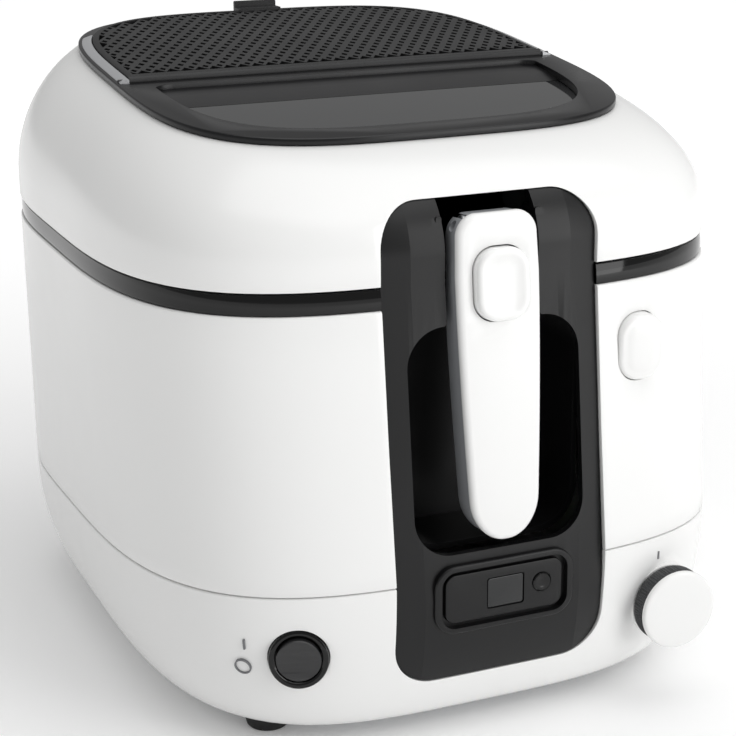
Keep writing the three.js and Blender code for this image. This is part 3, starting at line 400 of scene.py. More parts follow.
def turned(profile, centre, segments=64, turn=None):
    bpy.ops.object.select_all(action="DESELECT")
    radius, depth = profile[0]
    bpy.ops.mesh.primitive_circle_add(vertices=segments, radius=radius, location=(0, 0, -depth), fill_type="NGON")
    piece = bpy.context.object
    bpy.ops.object.transform_apply(location=True, rotation=True, scale=True)
    bpy.ops.object.mode_set(mode="EDIT")
    bpy.ops.mesh.select_all(action="SELECT")
    bpy.ops.mesh.delete(type="ONLY_FACE")
    bpy.ops.mesh.select_all(action="SELECT")
    bpy.ops.mesh.edge_face_add()
    for (r0, d0), (r1, d1) in zip(profile, profile[1:]):
        bpy.ops.mesh.extrude_edges_move(TRANSFORM_OT_translate={"value": (0, 0, d0 - d1)})
        bpy.ops.transform.resize(value=(r1 / r0, r1 / r0, 1), center_override=(0, 0, -d1))
    bpy.ops.mesh.edge_face_add()
    bpy.ops.mesh.select_all(action="SELECT")
    bpy.ops.mesh.normals_make_consistent(inside=False)
    bpy.ops.object.mode_set(mode="OBJECT")
    facing = Matrix.Rotation(math.radians(90), 4, "X")
    piece.matrix_world = Matrix.Translation(centre) @ (turn or Matrix()) @ facing
    bpy.ops.object.transform_apply(location=True, rotation=True, scale=True)
    return piece


def combine(piece, tool, operation="DIFFERENCE"):
    only(piece)
    cutter = piece.modifiers.new("cut", "BOOLEAN")
    cutter.operation, cutter.object, cutter.solver = operation, tool, "EXACT"
    bpy.ops.object.modifier_apply(modifier="cut")
    bpy.data.objects.remove(tool)
    return piece


def soften(piece, width, segments=2, angle=50):
    bpy.context.view_layer.objects.active = piece
    bevel = piece.modifiers.new("soften", "BEVEL")
    bevel.width, bevel.segments, bevel.limit_method, bevel.angle_limit = width, segments, "ANGLE", math.radians(angle)
    bpy.ops.object.modifier_apply(modifier="soften")
    return piece

# %% [markdown]
# ## The white shells
# The body leans out a little towards the front, and the base tucks under it in one round sweep. Both are lofts through
# rings that follow the same few sizes. Each wall is 2.6 mm thick, and its edges get two small rings that round them.

# %% Sizes of the body
WALL = 2.6
LID_SEAM, BAND_LOW, BASE_SEAM, SEAM_TILT, BASE_LOW = 196.5, 188.0, 69.0, -0.044, 8.0
HALF_WIDTH, FRONT, REAR, LEAN, TUCK, TUCK_POWER = 137.5, 160.0, 142.0, 14.0, 26.0, 2.1
PANEL_WIDTH, PANEL_HEIGHT, PANEL_MIDDLE = 94, 196, 129.5


def body_ring(z, inset=0.0, tilt=0.0):
    drop = (LID_SEAM - max(z, BASE_SEAM)) / (LID_SEAM - BASE_SEAM)
    low = min(1, max(0, (BASE_SEAM - z) / (BASE_SEAM - BASE_LOW)))
    tuck = TUCK * (1 - (1 - low**TUCK_POWER) ** (1 / TUCK_POWER)) + inset
    return Ring(HALF_WIDTH - tuck, FRONT + LEAN * drop - tuck, REAR - 3 * drop - tuck, z, tilt)


def front_wall(x, z):
    wall = body_ring(z)
    return -wall.front * (1 - abs(x / wall.side) ** PLAN_POWER) ** (1 / PLAN_POWER)


def panel_opening(grow):
    width, height = PANEL_WIDTH + 2 * grow, PANEL_HEIGHT + 2 * grow
    return rounded_block(0, PANEL_MIDDLE, width, height, -200, -124, 18 + grow, segments=14)


print("front wall at the seam:", front_wall(0, LID_SEAM))

# %% Body shell
body_top = BAND_LOW - 0.3
body_shell = loft(
    [
        body_ring(BASE_SEAM + 0.45, 0.7, SEAM_TILT),
        body_ring(BASE_SEAM + 0.6, 0.25, SEAM_TILT),
        body_ring(BASE_SEAM + 1.1, 0, SEAM_TILT),
        body_ring(BASE_SEAM + 8, 0, SEAM_TILT * 0.9),
        body_ring(BASE_SEAM + 20, 0, SEAM_TILT * 0.7),
        body_ring(110, 0, SEAM_TILT * 0.4),
        body_ring(130),
        body_ring(150),
        body_ring(170),
        body_ring(body_top - 1.2),
        body_ring(body_top - 0.5, 0.12),
        body_ring(body_top - 0.1, 0.5),
        body_ring(body_top, 1),
        body_ring(body_top, WALL),
        body_ring(130, WALL),
        body_ring(BASE_SEAM + 0.45, WALL, SEAM_TILT),
    ]
)
combine(body_shell, panel_opening(0.5))
RELEASE_X, RELEASE_Z = 67.5, 160.0
release_y = front_wall(RELEASE_X, RELEASE_Z)
combine(body_shell, rounded_block(RELEASE_X, RELEASE_Z, 21.8, 28.8, release_y - 15, release_y + 15, 9.9))
soften(body_shell, 0.5)
finish_piece(body_shell, "body_shell_moulding", "housing", "white_plastic", white_abs, "body_shell")

# %% [markdown]
# The base is a bowl with a lip for the steel plate. The round switch and the knob sit in openings square to its wall.

# %% Base
KNOB_X, KNOB_Z, KNOB_RADIUS = 80.5, 46.5, 17.0
knob_seat = front_wall(KNOB_X, KNOB_Z) - 4
SWITCH_X, SWITCH_Z, SWITCH_RADIUS = -86.0, 50.0, 11.2
switch_turn = Matrix.Rotation(math.radians(-22), 4, "Z") @ Matrix.Rotation(math.radians(-6), 4, "X")
switch_place = Vector((SWITCH_X, front_wall(SWITCH_X, SWITCH_Z), SWITCH_Z))
sweep = [BASE_SEAM - (BASE_SEAM - BASE_LOW) * math.sin(i / 22 * math.pi / 2) for i in range(1, 23)]
base = loft(
    [
        body_ring(BASE_SEAM, 1.0, SEAM_TILT),
        body_ring(BASE_SEAM - 0.15, 0.4, SEAM_TILT),
        body_ring(BASE_SEAM - 0.6, 0.05, SEAM_TILT),
        *[body_ring(z, 0, SEAM_TILT * max(0, 1 - i / 9)) for i, z in enumerate(sweep)],
        body_ring(BASE_LOW).inset(1.5),
        body_ring(BASE_LOW).inset(1.5, z=BASE_LOW + 4),
        body_ring(BASE_LOW + 6, 2.4),
        body_ring(BASE_LOW + 14, WALL),
        body_ring(40, WALL),
        body_ring(BASE_SEAM, WALL, SEAM_TILT),
    ]
)
boss = turned([(KNOB_RADIUS - 0.6, 0), (KNOB_RADIUS - 0.6, 22)], (KNOB_X, knob_seat, KNOB_Z))
combine(base, boss, "UNION")
combine(base, turned([(4.6, -10), (4.6, 40)], (KNOB_X, knob_seat, KNOB_Z), segments=32))
combine(base, panel_opening(0.5))
combine(base, turned([(SWITCH_RADIUS + 1.4, -12), (SWITCH_RADIUS + 1.4, 12)], switch_place, turn=switch_turn))
combine(base, turned([(6.9, -60), (6.9, 12)], (-60, 140, 34), segments=32))
soften(base, 0.5)
finish_piece(base, "base_moulding", "housing", "white_plastic", white_abs, "base_shell")

# %% [markdown]
# ## The lid
# The lid rises straight for 10 mm, then turns in with an arc to the edge of the black frame. The arc is tilted, because
# the top slopes down to the front, so each ring of it is tilted a little more than the last.

# %% Dome rings
DOME_BREAK, DOME_RISE, DOME_ANGLE, DOME_TILT = 207.0, 50.0, math.radians(65), 0.1
OPENING = Ring(106.5, 119, 118, 0)


def dome_ring(share, depth=0.0):
    angle = share * DOME_ANGLE
    inward = (1 - math.cos(angle)) / (1 - math.cos(DOME_ANGLE))
    seam = body_ring(LID_SEAM)
    z = DOME_BREAK + DOME_RISE * math.sin(angle) / math.sin(DOME_ANGLE)
    pairs = ((seam.side, OPENING.side), (seam.front, OPENING.front), (seam.rear, OPENING.rear))
    mixed = [a + (b - a) * inward for a, b in pairs]
    return Ring(*mixed, z - depth * math.sin(angle), DOME_TILT * share).inset(depth * math.cos(angle))


def top_ring(inset, height):
    return OPENING.inset(inset, z=DOME_BREAK + DOME_RISE + height, tilt=DOME_TILT)


def top_z(y):
    return DOME_BREAK + DOME_RISE + DOME_TILT * y


# %% Lid shell
lid_low = LID_SEAM + 0.4
HINGE_Y, HINGE_Z = 147.0, 198.0
KNUCKLE = [(4.5, -5.6), (5, -5.1), (5, 5.1), (4.5, 5.6)]
along_x = Matrix.Rotation(math.radians(90), 4, "Z")
lid_shell = loft(
    [
        body_ring(LID_SEAM).inset(0.9, z=lid_low),
        body_ring(LID_SEAM).inset(0.3, z=lid_low + 0.15),
        body_ring(LID_SEAM).inset(0.0, z=lid_low + 0.8),
        body_ring(LID_SEAM).inset(0.0, z=203),
        *[dome_ring(i / 18) for i in range(19)],
        *[dome_ring(1 - i / 8, WALL) for i in range(9)],
        body_ring(LID_SEAM).inset(WALL, z=lid_low),
    ]
)
combine(lid_shell, panel_opening(0.5))
for side in (-1, 1):
    combine(lid_shell, rounded_block(side * 42, HINGE_Z + 1.6, 36.5, 11, 139.3, 155, 1.0, segments=2))
    lug = rounded_block(side * 42, HINGE_Z + 3.6, 11.2, 4.6, 138.5, 148, 1.0, segments=2)
    knuckle = turned(KNUCKLE, (side * 42, HINGE_Y, HINGE_Z), 32, along_x)
    combine(lug, knuckle, "UNION")
    combine(lid_shell, lug, "UNION")
soften(lid_shell, 0.5)
finish_piece(lid_shell, "lid_dome", "lid", "white_plastic", white_abs, "lid_shell")

# %% [markdown]
# ## The rim band
# A gloss black hoop lies between the body and the lid. It carries the deck that the bowl rests on, and two pairs of
# knuckles for the hinge. The hoop is another loft. Each knuckle is a lathed barrel joined to a small lug.

# %% Rim band
rim_band = loft(
    [
        body_ring(BAND_LOW, 1.2),
        body_ring(BAND_LOW + 0.3, 0.8),
        body_ring(BAND_LOW + 2.2, 0.55),
        body_ring(BAND_LOW + 6, 0.55),
        body_ring(LID_SEAM - 0.6, 0.8),
        body_ring(LID_SEAM - 0.3, 1.2),
        body_ring(LID_SEAM - 0.3, 4),
        body_ring(186, 4),
        body_ring(186, 18),
        body_ring(183.5, 18),
        body_ring(183.5, 3),
        body_ring(BAND_LOW, 3),
    ]
)
combine(rim_band, rounded_block(0, 191, 94.8, 30, -180, -130, 1, segments=2))
for x in (-54, -30, 30, 54):
    lug = rounded_block(x, 192.6, 11.2, 7.2, 137.5, 149, 1, segments=2)
    combine(lug, turned(KNUCKLE, (x, HINGE_Y, HINGE_Z), 32, along_x), "UNION")
    combine(rim_band, lug, "UNION")
finish_piece(rim_band, "gloss_rim_band", "housing", "gloss_black", polished_black, "rim_band")

# %% [markdown]
# The hinge pin is a length of steel rod with slightly domed ends.

# %% Hinge pin
pin = turned([(1.4, -62), (2, -61.4), (2, 61.4), (1.4, 62)], (0, HINGE_Y, HINGE_Z), 24, along_x)
finish_piece(pin, "steel_hinge_rod", "housing", "steel", pressed_steel, "hinge_pin")

# %% [markdown]
# ## The front panel
# The black panel follows the body's front and the lid's dome. Its middle stands a little proud between two creases, and
# its sides fall away, so they catch less light. The skin is a thin loft trimmed to a tall rounded block. Behind it hang
# the tub of the finger recess and the channel for the handle, which are joined on and hollowed out.


# %% Slicing a piece across
def slice_across(piece, axis, levels):
    select_where(piece, lambda p, e: False)
    for level in levels:
        bpy.ops.mesh.select_all(action="SELECT")
        bpy.ops.mesh.bisect(plane_co=[level * part for part in axis], plane_no=axis)
    bpy.ops.object.mode_set(mode="OBJECT")
    return piece


# %% Panel skin
PANEL_INSET, SKIN, CREASE, DOME_SHARE = 0.6, 3.0, 35.0, 0.75
low_levels = [23, 27, 32, 38, 45, 53, 61, BASE_SEAM, 110, 150, LID_SEAM]
panel = loft(
    [body_ring(z, PANEL_INSET) for z in low_levels]
    + [dome_ring(i / 12 * DOME_SHARE, PANEL_INSET) for i in range(13)]
    + [dome_ring((12 - i) / 12 * DOME_SHARE, PANEL_INSET + SKIN) for i in range(13)]
    + [body_ring(z, PANEL_INSET + SKIN) for z in reversed(low_levels)],
    segments=240,
)
trim_block = rounded_block(0, PANEL_MIDDLE, PANEL_WIDTH, PANEL_HEIGHT, -200, -125, 18, segments=16)
combine(panel, trim_block, "INTERSECT")
slice_across(panel, (1, 0, 0), (-CREASE, CREASE))
for v in panel.data.vertices:
    beside = max(0, abs(v.co.x) - CREASE)
    v.co.y += 0.13 * beside - (0.3 if v.co.z < LID_SEAM else 0.1)
tub = rounded_block(0, 132.75, 80.8, 97.3, -158.5, -126.6, 18.4, segments=12)
combine(panel, tub, "UNION")
combine(panel, rounded_block(0, 178.5, 45.8, 15, -155, -126.6, 1, segments=2), "UNION")
for side in (-1, 1):
    combine(panel, rounded_block(side * 21.7, 203.3, 2.4, 36.6, -156, -145, 0.5, segments=1), "UNION")
print("panel skin:", len(panel.data.polygons), "faces")

# %% Recess and channel
hollow = rounded_block(0, 132.75, 76, 92.5, -190, -129, 16, segments=14)
combine(hollow, rounded_block(0, 209.5, 41, 73, -190, -129, 0.3, segments=1), "UNION")
CHANNEL_HALF, RECESS_TOP = 20.5, 179.0


def recess_shoulder(points, edge):
    start, end = points
    at_side = abs(abs(start.x) - CHANNEL_HALF) < 0.1
    return abs(start.y - end.y) > 20 and at_side and abs(start.z - RECESS_TOP) < 0.5


select_where(hollow, recess_shoulder)
bpy.ops.mesh.bevel(offset=1.4, segments=5)
bpy.ops.object.mode_set(mode="OBJECT")
combine(panel, hollow)

# %% Timer surround
TIMER_Z = 68.0
timer_y = front_wall(0, TIMER_Z) + PANEL_INSET
lip = rounded_block(0, TIMER_Z, 63, 29.5, timer_y - 1.6, timer_y + 2, 9.5, edge=0.8, segments=12)
combine(panel, lip, "UNION")
combine(panel, rounded_block(0, TIMER_Z, 57, 24.8, timer_y - 10, timer_y + 1.6, 6.5, segments=12))
soften(panel, 0.7, segments=3, angle=40)
select_where(panel, lambda p, e: all(abs(abs(q.x) - CREASE) < 0.01 for q in p) and min(q.y for q in p) < -150)
bpy.ops.mesh.mark_sharp()
bpy.ops.object.mode_set(mode="OBJECT")
finish_piece(panel, "front_panel_moulding", "housing", "black_plastic", satin_black, "front_panel")

# %% [markdown]
# ## The timer
# The timer is a separate small plate with a display window and one round button. Each is a block with rounded corners.
# The button gets a shallow dish for the fingertip.

# %% Timer plate, display and button
timer_face = timer_y - 0.6
plate = rounded_block(0, TIMER_Z, 53, 21, timer_face, timer_y + 1.3, 4.5, edge=0.5)
combine(plate, rounded_block(0.5, TIMER_Z, 17, 13.6, timer_face - 2, timer_face + 1, 1.2, segments=4))
key_place = (17, timer_face, TIMER_Z + 1)
combine(plate, turned([(4.4, -3), (4.4, 1.2)], key_place, 48))
finish_piece(plate, "timer_face_plate", "housing", "black_plastic", satin_black, "timer_plate")
display = rounded_block(0.5, TIMER_Z, 16, 12.6, timer_face + 0.15, timer_face + 0.9, 0.9, edge=0.25, segments=4)
finish_piece(display, "timer_window", "housing", "smoked_glass", smoked_sheet_and_inner_shade, "timer_display")
dished = [(4, 0.5), (4, -0.3), (3.6, -0.65), (3.0, -0.7), (2.2, -0.45), (1.0, -0.25)]
timer_key = turned(dished, key_place, 48)
finish_piece(timer_key, "timer_key", "timer_button", "gloss_black", polished_black, "timer_button")

# %% [markdown]
# ## The handle
# The handle hangs from a pin through the basket's bracket, and leans out a little at its foot. A white cover is the
# face that the eye meets, and a grey core behind it takes the fingers. Both start as a block that is cut into slices,
# and each slice is narrowed by its height, so the grip tapers to a round foot.

# %% Handle shape
PIVOT_Y, PIVOT_Z, GRIP_LOW, GRIP_HIGH, GRIP_WIDEST = -156.2, 217.5, 90.0, 222.5, 196.0
COVER_FACE, COVER_BACK, CORE_REAR = PIVOT_Y - 8.3, PIVOT_Y - 4.8, PIVOT_Y + 8.5
PIN_BORE = [(2.05, -20), (2.05, 20)]
about_pin = Matrix.Translation((0, PIVOT_Y, PIVOT_Z))
lean = about_pin @ Matrix.Rotation(math.radians(-5.5), 4, "X") @ about_pin.inverted()


def grip_share(z):
    if z > GRIP_WIDEST:
        return 1 - 0.07 * ((z - GRIP_WIDEST) / (GRIP_HIGH - GRIP_WIDEST)) ** 2
    return 1 - 0.21 * ((GRIP_WIDEST - z) / (GRIP_WIDEST - GRIP_LOW)) ** 1.6


def outline_of(points, edge, y_front):
    on_face = all(abs(q.y - y_front) < 1e-3 for q in points)
    return on_face and len(edge.link_faces) == 2 and edge.calc_face_angle() > 1


def grip_block(inset, y_front, y_back, edge, steps=5):
    height = GRIP_HIGH - GRIP_LOW - 2 * inset
    middle, width = GRIP_LOW + inset + height / 2, 36 - 2 * inset
    corner, foot_corner = 8.5 - inset, 17 - inset
    block = rounded_block(0, middle, width, height, y_front, y_back, corner, low_corner=foot_corner, segments=14)
    slice_across(block, (0, 0, 1), [GRIP_LOW + 18 + 9 * i for i in range(11)])
    for v in block.data.vertices:
        v.co.x *= grip_share(v.co.z)
    if edge:
        select_where(block, lambda p, e: outline_of(p, e, y_front))
        bpy.ops.mesh.bevel(offset=edge, segments=steps)
        bpy.ops.object.mode_set(mode="OBJECT")
    return block


# %% Handle cover
KEY_Z = 194.5
cover = grip_block(0, COVER_FACE, COVER_BACK, 2.4)
combine(cover, rounded_block(0, KEY_Z, 24.2, 30.2, COVER_FACE - 9, COVER_BACK + 9, 9.6, segments=12))
soften(cover, 0.35)
cover.data.transform(lean)
finish_piece(cover, "handle_white_cover", "handle", "white_plastic", white_abs, "handle_cover", angle=40)

# %% Handle core
core = grip_block(0.5, COVER_BACK + 0.25, CORE_REAR, 0)
select_where(core, lambda p, e: all(abs(q.y - CORE_REAR) < 1e-3 for q in p) and e.calc_face_angle() > 1)
bpy.ops.mesh.bevel(offset=3, segments=4)
bpy.ops.object.mode_set(mode="OBJECT")
combine(core, rounded_block(0, KEY_Z, 24.2, 30.2, COVER_BACK - 5, COVER_BACK + 1.2, 9.6, segments=12))
combine(core, rounded_block(0, PIVOT_Z + 2, 60, 56, PIVOT_Y + 4.4, PIVOT_Y + 30, 1, segments=2))
for side in (-1, 1):
    combine(core, rounded_block(side * 11.1, PIVOT_Z - 12.9, 4.4, 34.1, PIVOT_Y - 4.6, PIVOT_Y + 30, 0.5, segments=1))
soften(core, 0.5)
core.data.transform(lean)
hub = turned([(3.9, -8.8), (4.4, -8.3), (4.4, 8.3), (3.9, 8.8)], (0, PIVOT_Y, PIVOT_Z), 32, along_x)
combine(core, hub, "UNION")
combine(core, turned(PIN_BORE, (0, PIVOT_Y, PIVOT_Z), 24, along_x))
weld(core, 0.02)
finish_piece(core, "handle_grey_core", "handle", "grey_plastic", satin_mid_grey, "handle_core")


# %% [markdown]
# A push button is a rounded block with a soft edge. The face is inset and pushed in, then smoothed, so that it is
# dished for a thumb.


# %% Dished buttons
def dished_button(x, z, width, height, y_front, y_back, corner, rim, dish):
    button = rounded_block(x, z, width, height, y_front, y_back, corner, edge=1.8, segments=12, steps=5)
    select_where(button, lambda p, f: all(abs(q.y - y_front) < 1e-3 for q in p), "FACE")
    for step, share in ((rim, 0.0), (1.0, 0.3), (1.2, 0.4), (1.4, 0.2), (1.6, 0.1)):
        bpy.ops.mesh.inset(thickness=step)
        bpy.ops.transform.translate(value=(0, dish * share, 0))
    bpy.ops.object.mode_set(mode="OBJECT")
    return button


handle_key = dished_button(0, KEY_Z, 23, 29, COVER_FACE - 4.4, COVER_BACK - 1.4, 9, 0.8, 0.9)
handle_key.data.transform(lean)
finish_piece(handle_key, "handle_release_key", "handle_button", "white_plastic", white_abs, "handle_button")
lid_key = dished_button(RELEASE_X, RELEASE_Z, 21, 28, release_y - 3.4, release_y + 8.2, 9.5, 1.0, -0.8)
finish_piece(lid_key, "lid_release_key", "lid_release", "white_plastic", white_abs, "release_button")

# %% [markdown]
# ## Thermostat knob
# The knob is a dark grip with fine ribs and a white cap pressed into its front. Both are turned from a profile. The
# ribs come from pulling about half of the grip's points in by a third of a millimetre.

# %% Knob
knob_back = knob_seat - 0.6
knob_front = knob_back - 10.5
RIBS = 90
grip_profile = [(15.6, 8.1), (16.6, 7.6), (16.9, 6.8), (16.9, 1.0), (16.4, 0.1), (15.9, 0)]
grip = turned([(r, d - 8.1) for r, d in grip_profile], (KNOB_X, knob_back, KNOB_Z), RIBS * 4)
for v in grip.data.vertices:
    away = Vector((v.co.x - KNOB_X, 0, v.co.z - KNOB_Z))
    turn_share = (math.atan2(away.z, away.x) / (2 * math.pi) * RIBS) % 1
    if away.length > 16.2 and 0.25 < turn_share < 0.8:
        v.co -= away.normalized() * 0.35
finish_piece(grip, "thermostat_ribbed_grip", "thermostat_knob", "knob_grip", dark_grip, "knob_skirt")
cap_profile = [(15.8, 2.2), (17.3, 1.9), (17.3, 1.0), (17.0, 0.45), (16.3, 0.1), (15.2, 0), (9, -0.15), (4, -0.2)]
cap = turned(cap_profile, (KNOB_X, knob_front, KNOB_Z), 96)
finish_piece(cap, "thermostat_white_cap", "thermostat_knob", "white_plastic", white_abs, "knob_cap")

# %% [markdown]
# ## Power switch
# A round rocker sits in a gloss bezel, square to the wall of the base. The rocker's face is a shallow trough, cut by a
# wide roller, and it rests tipped with its lower half in.

# %% Power switch
bezel_barrel = [(11, 20), (11, 0.5), (12.2, 0.5), (12.2, -0.9)]
bezel_lip = [(11.9, -1.5), (11.3, -1.8), (10.4, -1.8), (9.9, -1.6), (9.5, -1.1)]
bezel = turned(bezel_barrel + bezel_lip, switch_place, 80, switch_turn)
combine(bezel, turned([(9.5, -6), (9.5, 8)], switch_place, 80, switch_turn))
finish_piece(bezel, "power_switch_bezel", "housing", "gloss_black", polished_black, "switch_housing")
tip = Matrix.Rotation(math.radians(7), 4, "X")
rocker = turned([(8.6, 4), (9.0, 3.4), (9.05, -1.2), (9.0, -2.0), (8.6, -2.5)], (0, 0, 0), 80)
combine(rocker, turned([(25.6, -20), (25.6, 20)], (0, -27.2, 0), 160, along_x))
soften(rocker, 0.35, angle=35)
rocker.data.transform(Matrix.Translation(switch_place) @ switch_turn @ tip)
finish_piece(rocker, "power_switch_rocker", "power_rocker", "gloss_black", rocker_black, "switch_rocker")

# %% [markdown]
# ## The lid's black frame
# The frame is a low black plate over the opening in the dome. It holds the window in front and the steam filter's cover
# behind a crossbar, with a two-step ramp from the crossbar down to the pane. It is a lofted plate with openings cut in
# it, and the corners of the openings are rounded before they are cut.


# %% Slabs that follow the sloping top
def top_slab(inset, low, high, y_front=-170, y_back=170, corner=0.0):
    slab = loft([top_ring(inset, low), top_ring(inset, high)], closed=False)
    if y_front > -170 or y_back < 170:
        combine(slab, rounded_block(0, 257, 320, 160, y_front, y_back, 1, segments=1), "INTERSECT")
    if corner:

        def cut_corner(points, edge):
            on_cut = any(all(abs(q.y - y) < 0.1 for q in points) for y in (y_front, y_back))
            return abs(points[0].z - points[1].z) > 20 and on_cut

        select_where(slab, cut_corner)
        bpy.ops.mesh.bevel(offset=corner, segments=8)
        bpy.ops.object.mode_set(mode="OBJECT")
    return slab


FRAME_PROUD, FRAME_WIDTH, WINDOW_REAR, COVER_FRONT = 3.0, 14.0, -17.0, -10.0
COVER_ROUND = 2.35
cover_axis = Vector((0, COVER_FRONT + COVER_ROUND, top_z(COVER_FRONT + COVER_ROUND) + 0.9 + COVER_ROUND))
frame_rings = [top_ring(0.2, 0.3), top_ring(-0.6, 0.3), top_ring(-0.6, 2.7), top_ring(-0.45, 3.0)]
lid_frame = loft(frame_rings + [top_ring(0.0, FRAME_PROUD + 0.15)], closed=False)
combine(lid_frame, top_slab(2.5, -4, 0.5), "UNION")
combine(lid_frame, top_slab(FRAME_WIDTH, -20, 20, y_back=WINDOW_REAR, corner=9))
combine(lid_frame, top_slab(5.1, FRAME_PROUD - 2.4, 20, y_front=COVER_FRONT - 0.4))
combine(lid_frame, top_slab(FRAME_WIDTH + 2, -20, 20, y_front=2, corner=6))
combine(lid_frame, top_slab(FRAME_WIDTH - 4, -20, -0.4, y_back=WINDOW_REAR + 3))
soften(lid_frame, 0.45, angle=40)
ramp = rounded_block(0, 250, 220, 4, WINDOW_REAR - 27, WINDOW_REAR + 1.3, 0.2, segments=1)
slice_across(ramp, (0, 1, 0), (WINDOW_REAR - 14, WINDOW_REAR - 12))
for v in ramp.data.vertices:
    back = WINDOW_REAR - v.co.y
    rise = 1.1 - 0.01 * back if back < 13 else 0.95 - 1.35 * (back - 14) / 13
    v.co.z = top_z(v.co.y) + (rise if v.co.z > 250 else -0.49)
combine(ramp, top_slab(FRAME_WIDTH - 1.13, -20, 20), "INTERSECT")
combine(lid_frame, ramp, "UNION")
weld(lid_frame, 0.02)
finish_piece(lid_frame, "lid_black_frame", "lid", "black_plastic", frame_black, "lid_frame")

# %% Window pane
# The pane is opaque, and its dark finish carries painted shade for the inside behind it.
pane = top_slab(FRAME_WIDTH - 3.6, -3, -0.5, y_back=WINDOW_REAR + 2.6)
finish_piece(pane, "lid_window_pane", "lid", "smoked_glass", smoked_sheet_and_inner_shade, "window_pane")

# %% [markdown]
# Beside the filter's cover a pale strip slopes up to it; its grey is a painted reflection. It is the same loft, cut
# short.

# %% Side strips with a painted reflection
STRIP_SECTION = ((1.0, 2.4), (1.0, 3.3), (1.3, 3.6), (4.7, 4.9), (5.1, 4.7), (5.1, 2.4))
reflection_strips = loft([top_ring(inset, height) for inset, height in STRIP_SECTION])
combine(reflection_strips, rounded_block(0, 257, 320, 60, COVER_FRONT - 1, 78, 1, segments=1), "INTERSECT")
finish_piece(reflection_strips, "cover_side_painted_reflection", "lid", "grey_plastic", painted_reflection_grey)

# %% [markdown]
# ## The steam filter's cover
# The cover is a black plate, hinged along its rounded front edge, with a finger tab at the rear. Its top has rows of
# small diamond holes, each row half a step along from the last. The plate is a loft with a shallow tray in its top. The
# pattern is a grid turned by 45 degrees: each square is inset, its middle is deleted, and the bars that are left are
# given depth. It lies in the tray, flush with the rim.

# %% Cover plate
cover_plate = loft(
    [top_ring(6.1, 0.9), top_ring(5.5, 1.5), top_ring(5.5, 4.4), top_ring(5.8, 5.2), top_ring(6.6, 5.6)], closed=False
)
combine(cover_plate, rounded_block(0, 257, 320, 160, cover_axis.y, 170, 1, segments=1), "INTERSECT")
nose = turned([(COVER_ROUND, -105), (COVER_ROUND, 105)], cover_axis, 40, along_x)
combine(nose, top_slab(5.5, -20, 20), "INTERSECT")
combine(cover_plate, nose, "UNION")
combine(cover_plate, turned([(1, -105.6), (1, 105.6)], cover_axis, 20, along_x), "UNION")
combine(cover_plate, top_slab(8.4, 3.9, 20, y_front=COVER_FRONT + 5))
TAB_X, TAB_Y = 3.0, 118.5
tab_z = top_z(TAB_Y) + 6.4
combine(cover_plate, rounded_block(TAB_X, tab_z - 1.9, 22, 2.8, TAB_Y - 9, TAB_Y + 1, 0.4, segments=2), "UNION")
combine(cover_plate, rounded_block(TAB_X, tab_z, 22, 4.8, TAB_Y - 1.6, TAB_Y + 1, 0.6, segments=3), "UNION")
finish_piece(cover_plate, "steam_cover_plate", "filter_cover", "textured_black", cover_black, "filter_cover")

# %% Cover grid
HOLE_STEP_X, HOLE_STEP_Y, GRID_CELLS, BAR_HALF = 6.6, 10.8, 46, 1.45
bpy.ops.object.select_all(action="DESELECT")
bpy.ops.mesh.primitive_grid_add(x_subdivisions=GRID_CELLS, y_subdivisions=GRID_CELLS, size=GRID_CELLS)
cover_grid = bpy.context.object
turned_square = Matrix.Rotation(math.radians(45), 4, "Z")
stretch = Matrix.Diagonal((HOLE_STEP_X / math.sqrt(2), HOLE_STEP_Y / math.sqrt(2), 1, 1))
cover_grid.data.transform(Matrix.Translation((0, 55, 0)) @ stretch @ turned_square)
inner = OPENING.inset(5.9)


def off_cover(points, _):
    for q in points:
        reach = inner.front if q.y < 0 else inner.rear
        if abs(q.x / inner.side) ** PLAN_POWER + abs(q.y / reach) ** PLAN_POWER > 1 or q.y < COVER_FRONT + 4:
            return True
    return False


select_where(cover_grid, off_cover, "FACE")
bpy.ops.mesh.delete(type="FACE")
bpy.ops.mesh.select_all(action="SELECT")
bpy.ops.mesh.inset(thickness=BAR_HALF, use_individual=True)
bpy.ops.mesh.delete(type="FACE")
bpy.ops.mesh.select_all(action="SELECT")
bpy.ops.mesh.extrude_region_move(TRANSFORM_OT_translate={"value": (0, 0, -1.6)})
bpy.ops.mesh.select_all(action="SELECT")
bpy.ops.mesh.normals_make_consistent(inside=False)
bpy.ops.object.mode_set(mode="OBJECT")
for v in cover_grid.data.vertices:
    v.co.z += top_z(v.co.y) + 5.56
finish_piece(cover_grid, "steam_cover_grid", "filter_cover", "textured_black", cover_black)

# %% [markdown]
# ## Inside the lid
# Under the cover lies the steam filter, a pad of pressed aluminium mesh in a folded rim. The liner is a bright collar
# that leads the steam up to it, with a silicone seal under it. These are seen when the lid or the cover is open.

# %% Steam filter
PAD_SECTION = ((16.4, -1.6), (16.4, 0), (16.7, 0.2), (19, 0.2), (19.5, -0.4))
pad = loft([top_ring(inset, height) for inset, height in PAD_SECTION], closed=False)
combine(pad, rounded_block(0, 257, 320, 160, 2.4, 170, 1, segments=1), "INTERSECT")
finish_piece(pad, "steam_filter_pad", "lid", "aluminium", filter_mesh, "steam_filter")

